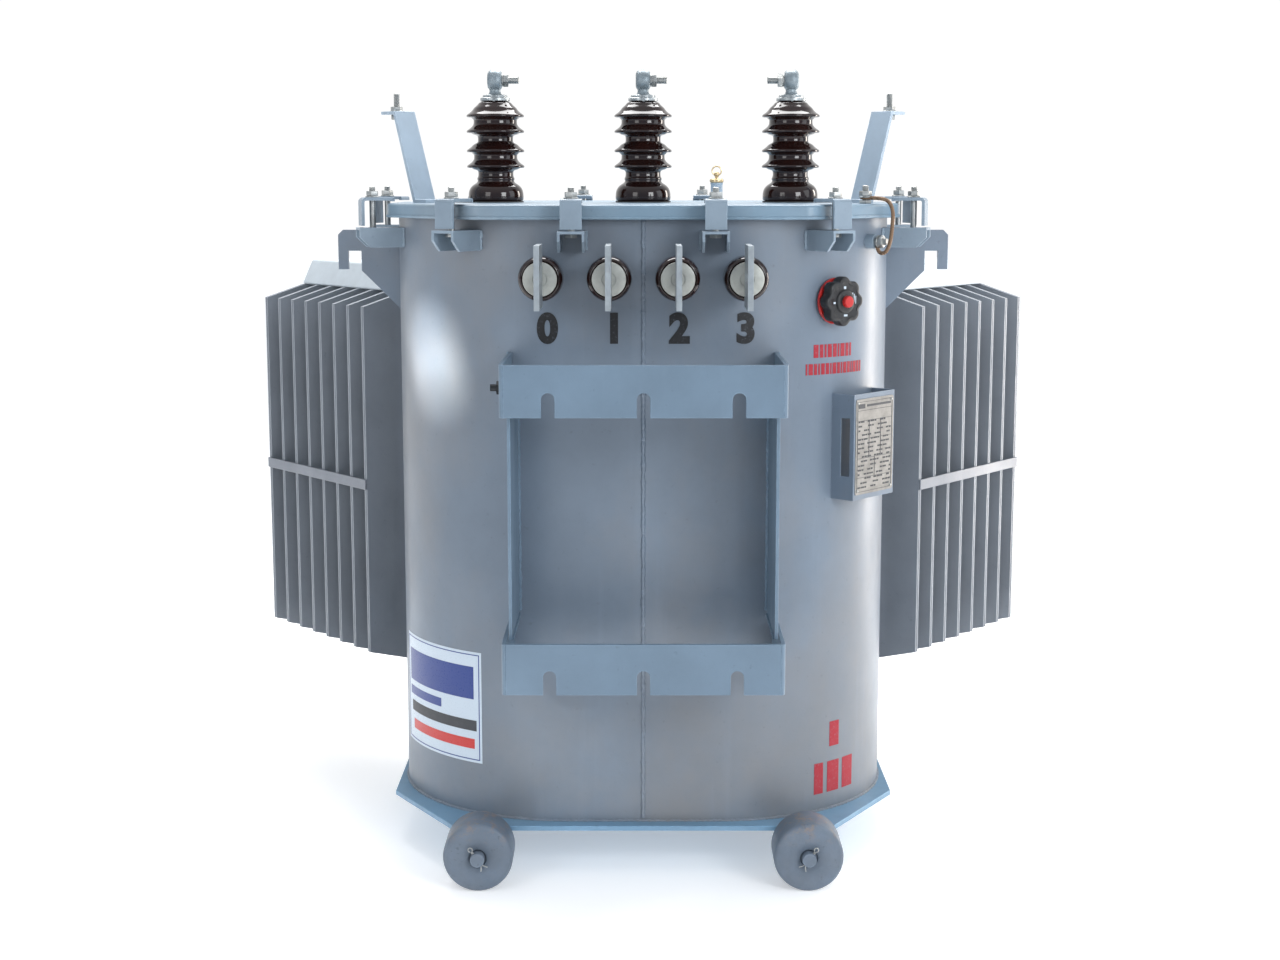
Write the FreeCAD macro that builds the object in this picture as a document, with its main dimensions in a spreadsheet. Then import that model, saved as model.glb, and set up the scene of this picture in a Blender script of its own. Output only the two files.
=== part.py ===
import FreeCAD, Part
import math
import os
import re

import Sketcher

# Three-phase oil-filled distribution transformer, in millimetres.
# +Z is up, +X is to the right, -Y is the front, where the pole brackets are.
# The origin is on the floor, under the middle of the tank.

DRIVING = {
    # tank, base plate and lid
    "tankRadius": 275, "tankStraight": 240, "tankWall": 3, "tankFoot": 78, "tankTop": 1021,
    "flangeInner": 22, "flangeOuter": 4, "flangeThick": 6, "gasketThick": 4,
    "baseOverSide": 10, "baseOverFront": 24, "baseFrontMore": 174, "baseSideHalf": 118,
    "baseThick": 8,
    "lidOverSide": 10, "lidOverFront": 25, "lidCut": 16.8525, "lidCutTurn": 51.7098,
    "lidThick": 5, "lidRim": 17, "lidRimWall": 4,
    # wheels and their beams
    "wheelRadius": 53, "wheelWidth": 70, "wheelSpread": 250.5, "wheelGap": 0.3, "wheelEdge": 2,
    "axleRadius": 11, "axleClear": 0.05, "axleOut": 12, "boreRecess": 1.5, "boreRing": 3,
    "beamWidth": 60, "beamHeight": 50, "beamWall": 6, "beamOverhang": 3, "collarRadius": 17,
    "collarThick": 2.7, "cotterRadius": 2, "cotterReach": 19, "cotterGap": 6, "cotterTurn": 35,
    # pole brackets
    "bracketWidth": 408, "bracketHeight": 75, "bracketThick": 6, "bracketReach": 200,
    "bracketDrop": 286.5, "bracketPitch": 401.5, "slotWidth": 19, "slotHeight": 35.5,
    "slotPitch": 135, "ribThick": 5, "ribSpread": 195, "ribReach": 170,
    "stopBoltRadius": 5, "stopBoltHead": 8.5, "stopBoltLong": 10, "stopBoltHigh": 37,
    "stopBoltBack": 60, "stopBoltTip": 16,
    # lid clamps
    "clampBolt": 46, "clampWidth": 32, "clampThick": 5, "clampRise": 4, "clampFoot": 8,
    "clampReach": 66, "clampFront": 106, "clampTurnNear": 31, "clampTurnFar": 73,
    "lugReach": 70, "lugWidth": 40, "lugDrop": 29, "lugHeight": 31, "lugThick": 4,
    "lugChamfer": 16, "clampBoltRadius": 5, "clampHole": 5.5, "clampHeadHigh": 6,
    "clampNutHigh": 8, "clampNutFlat": 8.5, "clampWasherRadius": 11, "clampWasherThick": 2,
    "clampBoltOver": 7,
    # lifting lugs
    "hookThick": 10, "hookBelow": 35, "hookHigh": 129, "hookGusset": 63.5, "hookKnee": 66,
    "hookReach": 101, "hookTip": 16, "hookArm": 34, "hookDrop": 64, "hookRound": 8,
    # high-voltage bushings
    "hvPitch": 240, "hvBack": 20, "hvGasket": 2, "hvBaseRadius": 45, "hvBaseHigh": 31,
    "hvCore": 24, "hvShed": 47, "hvTop": 162, "hvStem": 22, "hvStemDeep": 110, "hvHole": 24,
    "shedLowest": 58, "shedGap": 25, "shedPair": 56, "shedRim": 3, "shedSlope": 9,
    "hvCapRadius": 24, "hvCapHigh": 10, "hvNeckRadius": 10, "hvNeckHigh": 6, "hvBoss": 17.5,
    "hvBossWide": 24, "hvStudRadius": 6, "hvStudLong": 27, "hvNutFlat": 9.5, "hvNutHigh": 10,
    # low-voltage bushings
    "lvPitch": 100, "lvDrop": 97, "lvSkirt": 20, "lvRootDeep": 4, "lvRadius": 33, "lvNeck": 26,
    "lvReach": 92,
    "lvDiscRadius": 26, "lvDiscThick": 8, "lvHole": 18, "lvStem": 17, "lvStemDeep": 60,
    "bladeThick": 8, "bladeHigh": 91, "bladeOut": 92, "bladeLift": 6, "bladeHoleRadius": 7,
    "bladeHoleFirst": 32.2, "bladeHolePitch": 36.8,
    # arrester brackets
    "armWidth": 40, "armThick": 5, "armRise": 146, "armLean": 52, "armFlange": 38,
    "armInset": 53, "armBack": -20, "armTurn": 48, "armBolt": 5, "armBoltOver": 29,
    "armNutFlat": 8.5, "armNutHigh": 8, "armFoot": 30, "armBoltOut": 22,
    # pressure relief valve
    "reliefRight": 112, "reliefInset": 85, "reliefRadius": 9, "reliefHigh": 30,
    "reliefNutFlat": 13, "reliefNutHigh": 10, "reliefCapRadius": 11, "reliefCapHigh": 9,
    "reliefPin": 2.5, "reliefRing": 7, "reliefWire": 1.2,
    "reliefWall": 2, "reliefTail": 10, "reliefWellDeep": 10, "reliefPinDeep": 9, "reliefPinOut": 5,
    "reliefFit": 0.05,
    # tap changer
    "tapTurn": 38, "tapDrop": 137, "tapFlange": 30, "tapFlangeThick": 10, "tapKnob": 34,
    "tapKnobThick": 20, "tapLobe": 8, "tapLobes": 6, "tapGap": 0.4, "tapShaft": 8,
    "tapClear": 0.05, "tapLock": 9, "tapLockHigh": 7, "tapBody": 32, "tapBodyLong": 60,
    "tapShaftOut": 24, "tapGland": 14, "tapSeal": 0.4, "tapKnobSkin": 4,
    "tapLobeShare": 0.8, "tapFlangeSink": 8, "tapBoreDeep": 40, "tapTailRoom": 2,
    # name plate holder
    "plateTurn": 50, "plateDrop": 279, "plateHigh": 164, "plateWide": 112, "plateStand": 36,
    "plateSheet": 2, "plateMargin": 8, "plateThick": 1, "plateSlotWide": 16, "plateSlotHigh": 90,
    "plateRoot": 12,
    "rivetRadius": 2, "rivetHigh": 1.5, "rivetInset": 6,
    # radiators
    "finTurn": 52, "finGap": 60, "finShift": 43, "finPitch": 50, "finCount": 8,
    "finWidth": 300, "finThick": 9, "finFoot": 245, "finDrop": 170, "finShoulder": 22,
    "finShoulderRun": 78, "ductBase": 140, "ductCrown": 95, "ductHigh": 45, "ductEnd": 6,
    "pipeRadius": 28, "pipeFit": 0.1, "pipeFoot": 300, "strapHigh": 18, "strapThick": 4,
    "strapLevel": 543,
    # earthing jumper
    "earthTurn": 56, "earthLidIn": 5, "earthWire": 3, "earthOut": 43, "earthBend": 12,
    "earthDrop": 49, "earthLift": 8, "earthBoss": 11, "earthBossLong": 14, "earthBolt": 5,
    "earthNutFlat": 8.5, "earthNutHigh": 8, "earthBoltLong": 28, "earthSink": 3,
    "earthNutGap": 4, "earthPinOver": 6, "earthHang": 12,
    # core and windings
    "coilEndRoom": 38, "phaseGap": 6, "hvCoilWall": 13, "coilDuct": 4, "lvCoilWall": 12,
    "coreCorner": 3.5614, "coreFoot": 110, "coreHeadroom": 195, "coilGap": 10, "yokeBar": 12,
    "yokeBarHigh": 90, "yokeBarOver": 10, "tieRadius": 7, "tieRoom": 2.7182, "leadRadius": 5,
    "lvLeadStop": 80,
}

# Sizes that follow from others, so that what fits together stays together.
DERIVED = {
    "baseHalfWidth": "tankStraight / 2 + tankRadius + baseOverSide",
    "baseHalfDepth": "tankRadius + baseOverFront",
    "baseFrontHalf": "tankStraight / 2 + baseFrontMore",
    "lidHalfWidth": "tankStraight / 2 + tankRadius + lidOverSide",
    "lidHalfDepth": "tankRadius + lidOverFront",
    "lidFrontHalf": "tankStraight / 2 + (tankRadius + lidCut - lidHalfDepth * cos(lidCutTurn))"
                    " / sin(lidCutTurn)",
    "lidSideHalf": "(tankRadius + lidCut - (tankRadius + lidOverSide) * sin(lidCutTurn))"
                   " / cos(lidCutTurn)",
    "bracketUpper": "tankTop - bracketDrop",
    "bracketLower": "tankTop - bracketDrop - bracketPitch",
    "lugTop": "tankTop - lugDrop",
    "hookTop": "tankTop - hookBelow",
    "lvHeight": "tankTop - lvDrop",
    "tapHeight": "tankTop - tapDrop",
    "plateFoot": "tankTop - plateDrop - plateHigh",
    "earthLevel": "tankTop - earthDrop",
    "finStart": "tankRadius + finGap",
    "finHead": "tankTop - finDrop",
    "hvCoilOuter": "(tankStraight / 2 + tankRadius - tankWall - coilEndRoom - phaseGap) / 3",
    "hvCoilInner": "hvCoilOuter - hvCoilWall",
    "lvCoilOuter": "hvCoilInner - coilDuct",
    "lvCoilInner": "lvCoilOuter - lvCoilWall",
    "coreSide": "(lvCoilInner - coreCorner) * sqrt(2)",
    "limbPitch": "2 * hvCoilOuter + phaseGap",
    "windowHigh": "tankTop - coreHeadroom - coreFoot - 2 * coreSide",
    "tieSpread": "limbPitch + sqrt((hvCoilOuter + tieRadius + tieRoom) ^ 2"
                 " - (coreSide / 2 + tieRadius) ^ 2)",
}

doc = FreeCAD.newDocument("transformer")
sheet = doc.addObject("Spreadsheet::Sheet", "Sizes")
for row, (alias, number) in enumerate(DRIVING.items(), start=1):
    sheet.set(f"A{row}", alias)
    sheet.set(f"B{row}", str(number))
    sheet.setAlias(f"B{row}", alias)
doc.recompute()

ALIAS = re.compile(r"\b(" + "|".join(DRIVING) + r")\b")
FOLLOWS = re.compile(r"\b(" + "|".join(DERIVED) + r")\b")
NODES = []
UP = FreeCAD.Vector(0, 0, 1)
TURNS = {
    "Z": FreeCAD.Rotation(),
    "X": FreeCAD.Rotation(UP, FreeCAD.Vector(1, 0, 0)),
    "Y": FreeCAD.Rotation(UP, FreeCAD.Vector(0, 1, 0)),
    "-Y": FreeCAD.Rotation(UP, FreeCAD.Vector(0, -1, 0)),
    "-X": FreeCAD.Rotation(UP, FreeCAD.Vector(-1, 0, 0)),
}


def bound(text):
    """A sizes expression with each word tied to the sheet."""
    while FOLLOWS.search(text):
        text = FOLLOWS.sub(lambda found: f"({DERIVED[found.group(1)]})", text)
    return ALIAS.sub(r"Sizes.\1", text)


def worth(text):
    """The number that a sizes expression has now."""
    return float(sheet.evalExpression(bound(text)))


def bind(obj, prop, text):
    obj.setExpression(prop, bound(text))


def seat(obj, x, y, z):
    """Ties an object's place to the sheet."""
    for axis, text in zip("xyz", (x, y, z)):
        bind(obj, f"Placement.Base.{axis}", text)
    return obj


def box(name, dx, dy, dz, x, y, z):
    """A box whose low corner is at x, y, z."""
    obj = doc.addObject("Part::Box", name)
    for prop, text in (("Length", dx), ("Width", dy), ("Height", dz)):
        bind(obj, prop, text)
    return seat(obj, x, y, z)


def rod(name, radius, length, x, y, z, axis="Z"):
    """A cylinder that starts at x, y, z and runs along axis."""
    obj = doc.addObject("Part::Cylinder", name)
    bind(obj, "Radius", radius)
    bind(obj, "Height", length)
    obj.Placement = FreeCAD.Placement(FreeCAD.Vector(), TURNS[axis])
    return seat(obj, x, y, z)


def hexagon(name, flat, height, x, y, z, axis="Z"):
    """A six-sided prism; flat is half the size across its flats."""
    obj = doc.addObject("Part::Prism", name)
    obj.Polygon = 6
    bind(obj, "Circumradius", f"({flat}) / cos(30)")
    bind(obj, "Height", height)
    obj.Placement = FreeCAD.Placement(FreeCAD.Vector(), TURNS[axis])
    return seat(obj, x, y, z)


def cut(name, base, *tools):
    for number, tool in enumerate(tools, start=1):
        obj = doc.addObject("Part::Cut", f"{name}_{number}")
        obj.Base = base
        obj.Tool = tool
        base = obj
    return base


def fuse(name, *pieces):
    obj = doc.addObject("Part::MultiFuse", name)
    obj.Shapes = list(pieces)
    obj.Refine = True
    return obj


def placed(name, master, x=0.0, y=0.0, z=0.0, turn=0.0):
    """A copy of master, turned about Z and then moved."""
    obj = doc.addObject("Part::Compound", name)
    obj.Links = [master]
    turned = FreeCAD.Rotation(UP, turn)
    obj.Placement = FreeCAD.Placement(FreeCAD.Vector(x, y, z), turned)
    return obj


def mirrored(name, master, normal=(1, 0, 0)):
    obj = doc.addObject("Part::Mirroring", name)
    obj.Source = master
    obj.Base = FreeCAD.Vector(0, 0, 0)
    obj.Normal = FreeCAD.Vector(*normal)
    return obj


def group(name, pieces):
    obj = doc.addObject("Part::Compound", name)
    obj.Links = list(pieces)
    return obj


def keep(label, obj):
    """Names a finished sub-part, which gives its file its name."""
    obj.Label = label
    NODES.append(obj)
    return obj


def outline(sketch, points):
    """A closed outline whose every corner is tied to the sheet."""
    corners = [FreeCAD.Vector(worth(x), worth(y), 0) for x, y in points]
    total = len(corners)
    for number, start in enumerate(corners):
        sketch.addGeometry(Part.LineSegment(start, corners[(number + 1) % total]), False)
    for number in range(total):
        sketch.addConstraint(Sketcher.Constraint("Coincident", number, 2, (number + 1) % total, 1))
    for number, (x, y) in enumerate(points):
        for kind, text in (("DistanceX", x), ("DistanceY", y)):
            rule = Sketcher.Constraint(kind, -1, 1, number, 1, worth(text))
            index = sketch.addConstraint(rule)
            bind(sketch, f"Constraints[{index}]", text)


def sketched(name, plane, points, offset="0"):
    """A body with one outline on one of its own origin planes."""
    body = doc.addObject("PartDesign::Body", name)
    sketch = body.newObject("Sketcher::SketchObject", f"{name}_outline")
    base = [item for item in body.Origin.OriginFeatures if item.Role == plane][0]
    sketch.AttachmentSupport = [(base, "")]
    sketch.MapMode = "FlatFace"
    bind(sketch, "AttachmentOffset.Base.z", offset)
    outline(sketch, points)
    return body, sketch


def padded(name, plane, points, length, offset="0"):
    """An outline padded along its plane's normal: XY +Z, XZ -Y, YZ +X."""
    body, sketch = sketched(name, plane, points, offset)
    pad = body.newObject("PartDesign::Pad", f"{name}_pad")
    pad.Profile = sketch
    bind(pad, "Length", length)
    return body


def revolved(name, plane, points, axis):
    """An outline turned a full circle about one of the sketch's axes."""
    body, sketch = sketched(name, plane, points)
    turn = body.newObject("PartDesign::Revolution", f"{name}_turn")
    turn.Profile = sketch
    turn.ReferenceAxis = (sketch, [axis])
    turn.Angle = 360
    return body


def octagon(half_width, half_depth, front_half, side_half):
    """The corners of a plate with four cut corners."""
    first = [(front_half, f"-({half_depth})"), (half_width, f"-({side_half})"),
             (half_width, side_half), (front_half, half_depth)]
    return first + [(f"-({x})", y) for x, y in reversed(first)]


def obround(name, radius, height, z):
    """A solid with flat front and back and round ends, like the tank."""
    half = "tankStraight / 2"
    middle = box(f"{name}_middle", "tankStraight", f"2 * ({radius})", height,
                 f"-{half}", f"-({radius})", z)
    ends = [rod(f"{name}_end{side}", radius, height, text, "0", z)
            for side, text in enumerate((f"-{half}", half))]
    return fuse(name, middle, *ends)


def on_wall(turn, out=0.0):
    """A point out from the tank's right front arc, turn degrees from straight ahead."""
    reach = worth("tankRadius") + out
    angle = math.radians(turn)
    return worth("tankStraight / 2") + reach * math.sin(angle), -reach * math.cos(angle)


def make_tank():
    wall = cut("tankWallRing",
               obround("tankOutside", "tankRadius", "tankTop - tankFoot", "tankFoot"),
               obround("tankInside", "tankRadius - tankWall", "tankTop - tankFoot", "tankFoot"))
    level = "tankTop - flangeThick"
    flange = cut("tankFlangeRing",
                 obround("flangeOutside", "tankRadius + flangeOuter", "flangeThick", level),
                 obround("flangeInside", "tankRadius - flangeInner", "flangeThick", level))
    shell = fuse("tankShell", wall, flange)
    bores = []
    for number in range(4):
        x = f"({number} - 1.5) * lvPitch"
        bores.append(rod(f"lvBore{number}", "lvHole", "tankWall * 3 + lvNeck", x,
                         "-tankRadius - tankWall", "lvHeight", "Y"))
    tap = rod("tapBore", "tapGland", "tapBoreDeep", "0", "tapBoreDeep / 2", "tapHeight", "-Y")
    x, y = on_wall(worth("tapTurn"))
    bores.append(placed("tapBoreSeat", tap, x, y, 0, worth("tapTurn")))
    keep("tank_shell", cut("tankBored", shell, *bores))


def make_plates():
    base = padded("basePlate", "XY_Plane",
                  octagon("baseHalfWidth", "baseHalfDepth", "baseFrontHalf", "baseSideHalf"),
                  "baseThick", "tankFoot - baseThick")
    keep("base_plate", base)
    gasket = cut("gasketRing",
                 obround("gasketOutside", "tankRadius + flangeOuter", "gasketThick", "tankTop"),
                 obround("gasketInside", "tankRadius - flangeInner", "gasketThick", "tankTop"))
    keep("lid_gasket", gasket)


def make_lid():
    under = "tankTop + gasketThick"
    outside = padded("lidOutside", "XY_Plane",
                     octagon("lidHalfWidth", "lidHalfDepth", "lidFrontHalf", "lidSideHalf"),
                     "lidThick + lidRim", f"{under} - lidRim")
    inside = padded("lidInside", "XY_Plane",
                    octagon("lidHalfWidth - lidRimWall", "lidHalfDepth - lidRimWall",
                            "lidFrontHalf - lidRimWall / 2", "lidSideHalf - lidRimWall / 4"),
                    "lidRim", f"{under} - lidRim")
    holes = [rod(f"lidHole{side}", "hvHole", "lidThick", f"{side - 1} * hvPitch", "hvBack", under)
             for side in range(3)]
    holes.append(rod("reliefHole", "reliefRadius - reliefWall", "lidThick", "reliefRight",
                     "reliefInset - tankRadius", under))
    holes.append(placed("earthHoleSeat", earth_lid_bore(), *earth_lid_place()))
    keep("lid", cut("lidHollow", outside, inside, *holes))


def earth_lid_bore():
    return rod("earthHole", "earthBolt", "lidThick", "0", "0", "tankTop + gasketThick")


def earth_lid_place():
    return on_wall(worth("earthTurn"), worth("-earthLidIn"))


LID_TOP = "tankTop + gasketThick + lidThick"


def make_beams():
    length = "2 * (baseHalfDepth + beamOverhang)"
    low = "tankFoot - baseThick - beamHeight"
    x = "wheelSpread - beamWidth / 2"
    front = "-baseHalfDepth - beamOverhang"
    block = box("beamBlock", "beamWidth", length, "beamHeight", x, front, low)
    hollow = box("beamHollow", "beamWidth - 2 * beamWall", f"{length} - 2 * beamWall",
                 "beamHeight - beamWall", f"{x} + beamWall", f"{front} + beamWall", low)
    beam = cut("beam", block, hollow)
    keep("wheel_beams", group("beams", [beam, mirrored("beamLeft", beam)]))


def make_wheels():
    start = "baseHalfDepth + beamOverhang + collarThick + wheelGap"
    bore = "axleRadius + axleClear"
    ring = "axleRadius + boreRing"
    profile = [("0", bore), ("0", "wheelRadius - wheelEdge"), ("wheelEdge", "wheelRadius"),
               ("wheelWidth - wheelEdge", "wheelRadius"), ("wheelWidth", "wheelRadius - wheelEdge"),
               ("wheelWidth", ring), ("wheelWidth - boreRecess", ring),
               ("wheelWidth - boreRecess", bore)]
    for end, flip in (("rear", 1), ("front", -1)):
        for side, sign in (("left", -1), ("right", 1)):
            name = f"wheel_{end}_{side}"
            points = [(x if flip > 0 else f"-({x})", r) for x, r in profile]
            wheel = revolved(name, "YZ_Plane", points, "H_Axis")
            seat(wheel, f"{sign} * wheelSpread", f"{flip} * ({start})", "wheelRadius")
            keep(name, wheel)


def make_axles():
    root = "baseHalfDepth + beamOverhang"
    end = f"{root} + collarThick + wheelGap + wheelWidth + axleOut"
    collar = rod("axleCollar", "collarRadius", "collarThick", "wheelSpread", root, "wheelRadius",
                 "Y")
    shaft = rod("axleShaft", "axleRadius", f"{end} - ({root})", "wheelSpread", root, "wheelRadius",
                "Y")
    blank = fuse("axleBlank", collar, shaft)
    pin = rod("cotterPin", "cotterRadius", "2 * cotterReach", "0", "0", "-cotterReach")
    turned = FreeCAD.Rotation(FreeCAD.Vector(0, 1, 0), worth("cotterTurn"))
    pin_seat = doc.addObject("Part::Compound", "cotterSeat")
    pin_seat.Links = [pin]
    spot = FreeCAD.Vector(worth("wheelSpread"), worth(f"{end} - cotterGap"), worth("wheelRadius"))
    pin_seat.Placement = FreeCAD.Placement(spot, turned)
    axle = cut("axle", blank, pin_seat)
    keep("wheel_axles", group("axles", four_ways("axle", axle)))
    keep("wheel_cotters", group("cotters", four_ways("cotter", pin_seat)))


def four_ways(name, master):
    """The piece and its mirror images left, front and both."""
    left = mirrored(f"{name}MirrorLeft", master)
    front = mirrored(f"{name}MirrorFront", master, (0, 1, 0))
    both = mirrored(f"{name}MirrorBoth", left, (0, 1, 0))
    return [master, left, front, both]


def make_bracket(label, foot):
    name = label.replace("_", "")
    face = "tankRadius + bracketReach"
    outer = box(f"{name}Outer", "bracketWidth", face, "bracketHeight", "-bracketWidth / 2",
                f"-({face})", foot)
    inner = box(f"{name}Inner", "bracketWidth - 2 * bracketThick", face, "bracketHeight",
                "-bracketWidth / 2 + bracketThick", f"-({face}) + bracketThick", foot)
    tank = obround(f"{name}Tank", "tankRadius", "bracketHeight", foot)
    slots = []
    for number in range(3):
        x = f"({number} - 1) * slotPitch"
        top = f"{foot} + slotHeight - slotWidth / 2"
        slots.append(box(f"{name}Slot{number}", "slotWidth", "bracketThick",
                         "slotHeight - slotWidth / 2", f"{x} - slotWidth / 2", f"-({face})", foot))
        slots.append(rod(f"{name}Round{number}", "slotWidth / 2", "bracketThick", x,
                         f"-({face})", top, "Y"))
    keep(label, cut(f"{name}Cut", outer, inner, tank, *slots))


def make_ribs():
    low = "bracketLower + bracketHeight"
    high = "bracketUpper - bracketLower - bracketHeight"
    blank = box("ribBlank", "ribThick", "ribReach + tankRadius", high, "ribSpread - ribThick",
                "-tankRadius - ribReach", low)
    rib = cut("rib", blank, obround("ribTank", "tankRadius", high, low))
    keep("bracket_ribs", group("ribs", [rib, mirrored("ribLeft", rib)]))


def make_stop_bolt():
    x = "-bracketWidth / 2"
    y = "-tankRadius - bracketReach + stopBoltBack"
    z = "bracketUpper + stopBoltHigh"
    head = hexagon("stopBoltHex", "stopBoltHead", "stopBoltLong * 0.7", x, y, z, "-X")
    tip = rod("stopBoltTip", "stopBoltRadius", "stopBoltTip", x, y, z, "-X")
    keep("bracket_bolt", fuse("stopBolt", head, tip))


def clamp_places():
    """Where the twelve lid clamps stand: x, y on the wall, and their turn."""
    front = [(worth("clampFront"), -worth("tankRadius"), 0.0)]
    for turn in (worth("clampTurnNear"), worth("clampTurnFar")):
        x, y = on_wall(turn)
        front.append((x, y, turn))
    left = [(-x, y, -turn) for x, y, turn in front]
    near = front + left
    return near + [(x, -y, 180.0 - turn) for x, y, turn in near]


def clamp_set(label, master, flat_master=None):
    """Twelve copies; the four on the tank's flat faces may have their own shape."""
    copies = []
    for number, (x, y, turn) in enumerate(clamp_places()):
        piece = flat_master if flat_master and turn in (0.0, 180.0) else master
        copies.append(placed(f"{label}At{number}", piece, x, y, 0.0, turn))
    keep(label, group(f"{label}Set", copies))


def make_clamps():
    lug_low = "lugTop - lugHeight"
    side = [("0", lug_low), ("0", "lugTop"), ("-lugReach", "lugTop"),
            ("-lugReach", f"{lug_low} + lugChamfer"), ("-lugReach + lugChamfer", lug_low)]
    block = padded("lugBlock", "YZ_Plane", side, "lugWidth", "-lugWidth / 2")
    inside = box("lugInside", "lugWidth - 2 * lugThick", "lugReach + 2", "lugHeight - lugThick",
                 "-lugWidth / 2 + lugThick", "-lugReach - 1", lug_low)
    bore = rod("lugBore", "clampHole", "lugThick", "0", "-clampBolt", "lugTop - lugThick")
    # the lug runs a little into the wall so that its flat back meets the round tank
    root = box("lugRoot", "lugWidth", "lugThick", "lugHeight", "-lugWidth / 2", "0", lug_low)
    wall = rod("lugWall", "tankRadius", "lugHeight", "0", "tankRadius", lug_low)
    clamp_set("lid_clamp_lugs", cut("lug", fuse("lugFull", block, root), inside, bore, wall),
              cut("lugFlat", block, inside, bore))
    arm_low = f"{LID_TOP} + clampRise"
    arm_top = f"{arm_low} + clampThick"
    strip = [("-clampFoot", LID_TOP), ("-clampFoot", arm_top), ("-clampReach", arm_top),
             ("-clampReach", "lugTop"), ("-clampReach + clampThick", "lugTop"),
             ("-clampReach + clampThick", arm_low), ("-clampFoot - clampThick", arm_low),
             ("-clampFoot - clampThick", LID_TOP)]
    strap = padded("clampStrip", "YZ_Plane", strip, "clampWidth", "-clampWidth / 2")
    hole = rod("strapHole", "clampHole", "clampThick", "0", "-clampBolt", arm_low)
    clamp_set("lid_clamp_straps", cut("strap", strap, hole))
    foot = "lugTop - lugThick - clampHeadHigh"
    nut_low = f"{arm_top} + clampWasherThick"
    end = f"{nut_low} + clampNutHigh + clampBoltOver"
    head = hexagon("clampHead", "clampNutFlat", "clampHeadHigh", "0", "-clampBolt", foot)
    shank = rod("clampShank", "clampBoltRadius", f"{end} - ({foot})", "0", "-clampBolt", foot)
    clamp_set("lid_clamp_bolts", fuse("clampBoltSolid", head, shank))
    washer = rod("clampWasher", "clampWasherRadius", "clampWasherThick", "0", "-clampBolt",
                 arm_top)
    nut = hexagon("clampNut", "clampNutFlat", "clampNutHigh", "0", "-clampBolt", nut_low)
    thread = rod("clampThread", "clampBoltRadius", "clampNutHigh + clampWasherThick", "0",
                 "-clampBolt", arm_top)
    clamp_set("lid_clamp_nuts", cut("clampNutBored", fuse("clampNutBlank", washer, nut), thread))


def make_hooks():
    wall = "tankStraight / 2 + tankRadius"
    foot = "hookTop - hookHigh"
    gusset = f"{wall} + hookGusset"
    end = f"{wall} + hookReach"
    root = f"{wall} - tankWall"
    points = [(root, foot), (wall, foot), (gusset, "hookTop - hookKnee"),
              (gusset, "hookTop - hookArm"), (f"{end} - hookTip", "hookTop - hookArm"),
              (f"{end} - hookTip", "hookTop - hookDrop"), (end, "hookTop - hookDrop"),
              (end, "hookTop - hookRound"), (f"{end} - hookRound", "hookTop"),
              (root, "hookTop")]
    plate = padded("hookPlate", "XZ_Plane", points, "hookThick", "-hookThick / 2")
    hook = cut("hook", plate, obround("hookTank", "tankRadius", "tankTop", "0"))
    keep("lifting_lugs", group("hooks", [hook, mirrored("hookLeft", hook)]))


def bushing_outline():
    """Radius and height of the porcelain, from its stem in the tank up to its cap."""
    points = [("0", "-hvStemDeep"), ("hvStem", "-hvStemDeep"), ("hvStem", "0"),
              ("hvBaseRadius", "0"), ("hvBaseRadius", "hvBaseHigh * 0.6"),
              ("hvCore + 6", "hvBaseHigh"), ("hvCore", "hvBaseHigh + 6")]
    for pair in range(2):
        for step in range(2):
            rim = f"shedLowest + {pair} * shedPair + {step} * shedGap"
            points += [("hvCore", f"{rim} - shedRim"), ("hvShed", f"{rim} - shedRim"),
                       ("hvShed", rim), ("hvCore", f"{rim} + shedSlope")]
    return points + [("hvCore", "hvTop - hvGasket"), ("0", "hvTop - hvGasket")]


def make_hv_bushings():
    stand = f"{LID_TOP} + hvGasket"
    ring = cut("hvGasketRing",
               rod("hvGasketDisc", "hvBaseRadius", "hvGasket", "0", "0", "0"),
               rod("hvGasketBore", "hvHole", "hvGasket", "0", "0", "0"))
    cap = rod("hvCap", "hvCapRadius", "hvCapHigh", "0", "0", "hvTop")
    neck = rod("hvNeck", "hvNeckRadius", "hvNeckHigh + hvBoss", "0", "0", "hvTop + hvCapHigh")
    centre = "hvTop + hvCapHigh + hvNeckHigh + hvBoss"
    boss = rod("hvBossRound", "hvBoss", "hvBossWide", "-hvBossWide / 2", "0", centre, "X")
    bore = rod("hvBossBore", "hvStudRadius", "hvBossWide", "-hvBossWide / 2", "0", centre, "X")
    head = cut("hvHead", fuse("hvHeadBlank", neck, boss), bore)
    stud = rod("hvStud", "hvStudRadius", "hvBossWide + hvStudLong", "-hvBossWide / 2", "0",
               centre, "X")
    nut = hexagon("hvNut", "hvNutFlat", "hvNutHigh", "hvBossWide / 2", "0", centre, "X")
    stud_nut = fuse("hvStudNut", stud, nut)
    seats = [(worth(f"{side} * hvPitch"), worth("hvBack")) for side in (-1, 0, 1)]
    base = worth(LID_TOP)
    for (x, y), place in zip(seats, ("left", "middle", "right")):
        porcelain = revolved(f"hvPorcelain{place}", "XZ_Plane", bushing_outline(), "V_Axis")
        seat(porcelain, str(x), "hvBack", stand)
        keep(f"hv_bushing_{place}", porcelain)
    shared = (("hv_gaskets", ring, (0, 0, 0)), ("hv_caps", cap, (0, 0, 0)),
              ("hv_terminal_heads", head, (0, 0, 0)), ("hv_terminal_studs", stud_nut, (0, 0, 180)))
    for label, master, turns in shared:
        copies = [placed(f"{label}{number}", master, x, y, base, turn)
                  for number, ((x, y), turn) in enumerate(zip(seats, turns))]
        keep(label, group(f"{label}Set", copies))


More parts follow.
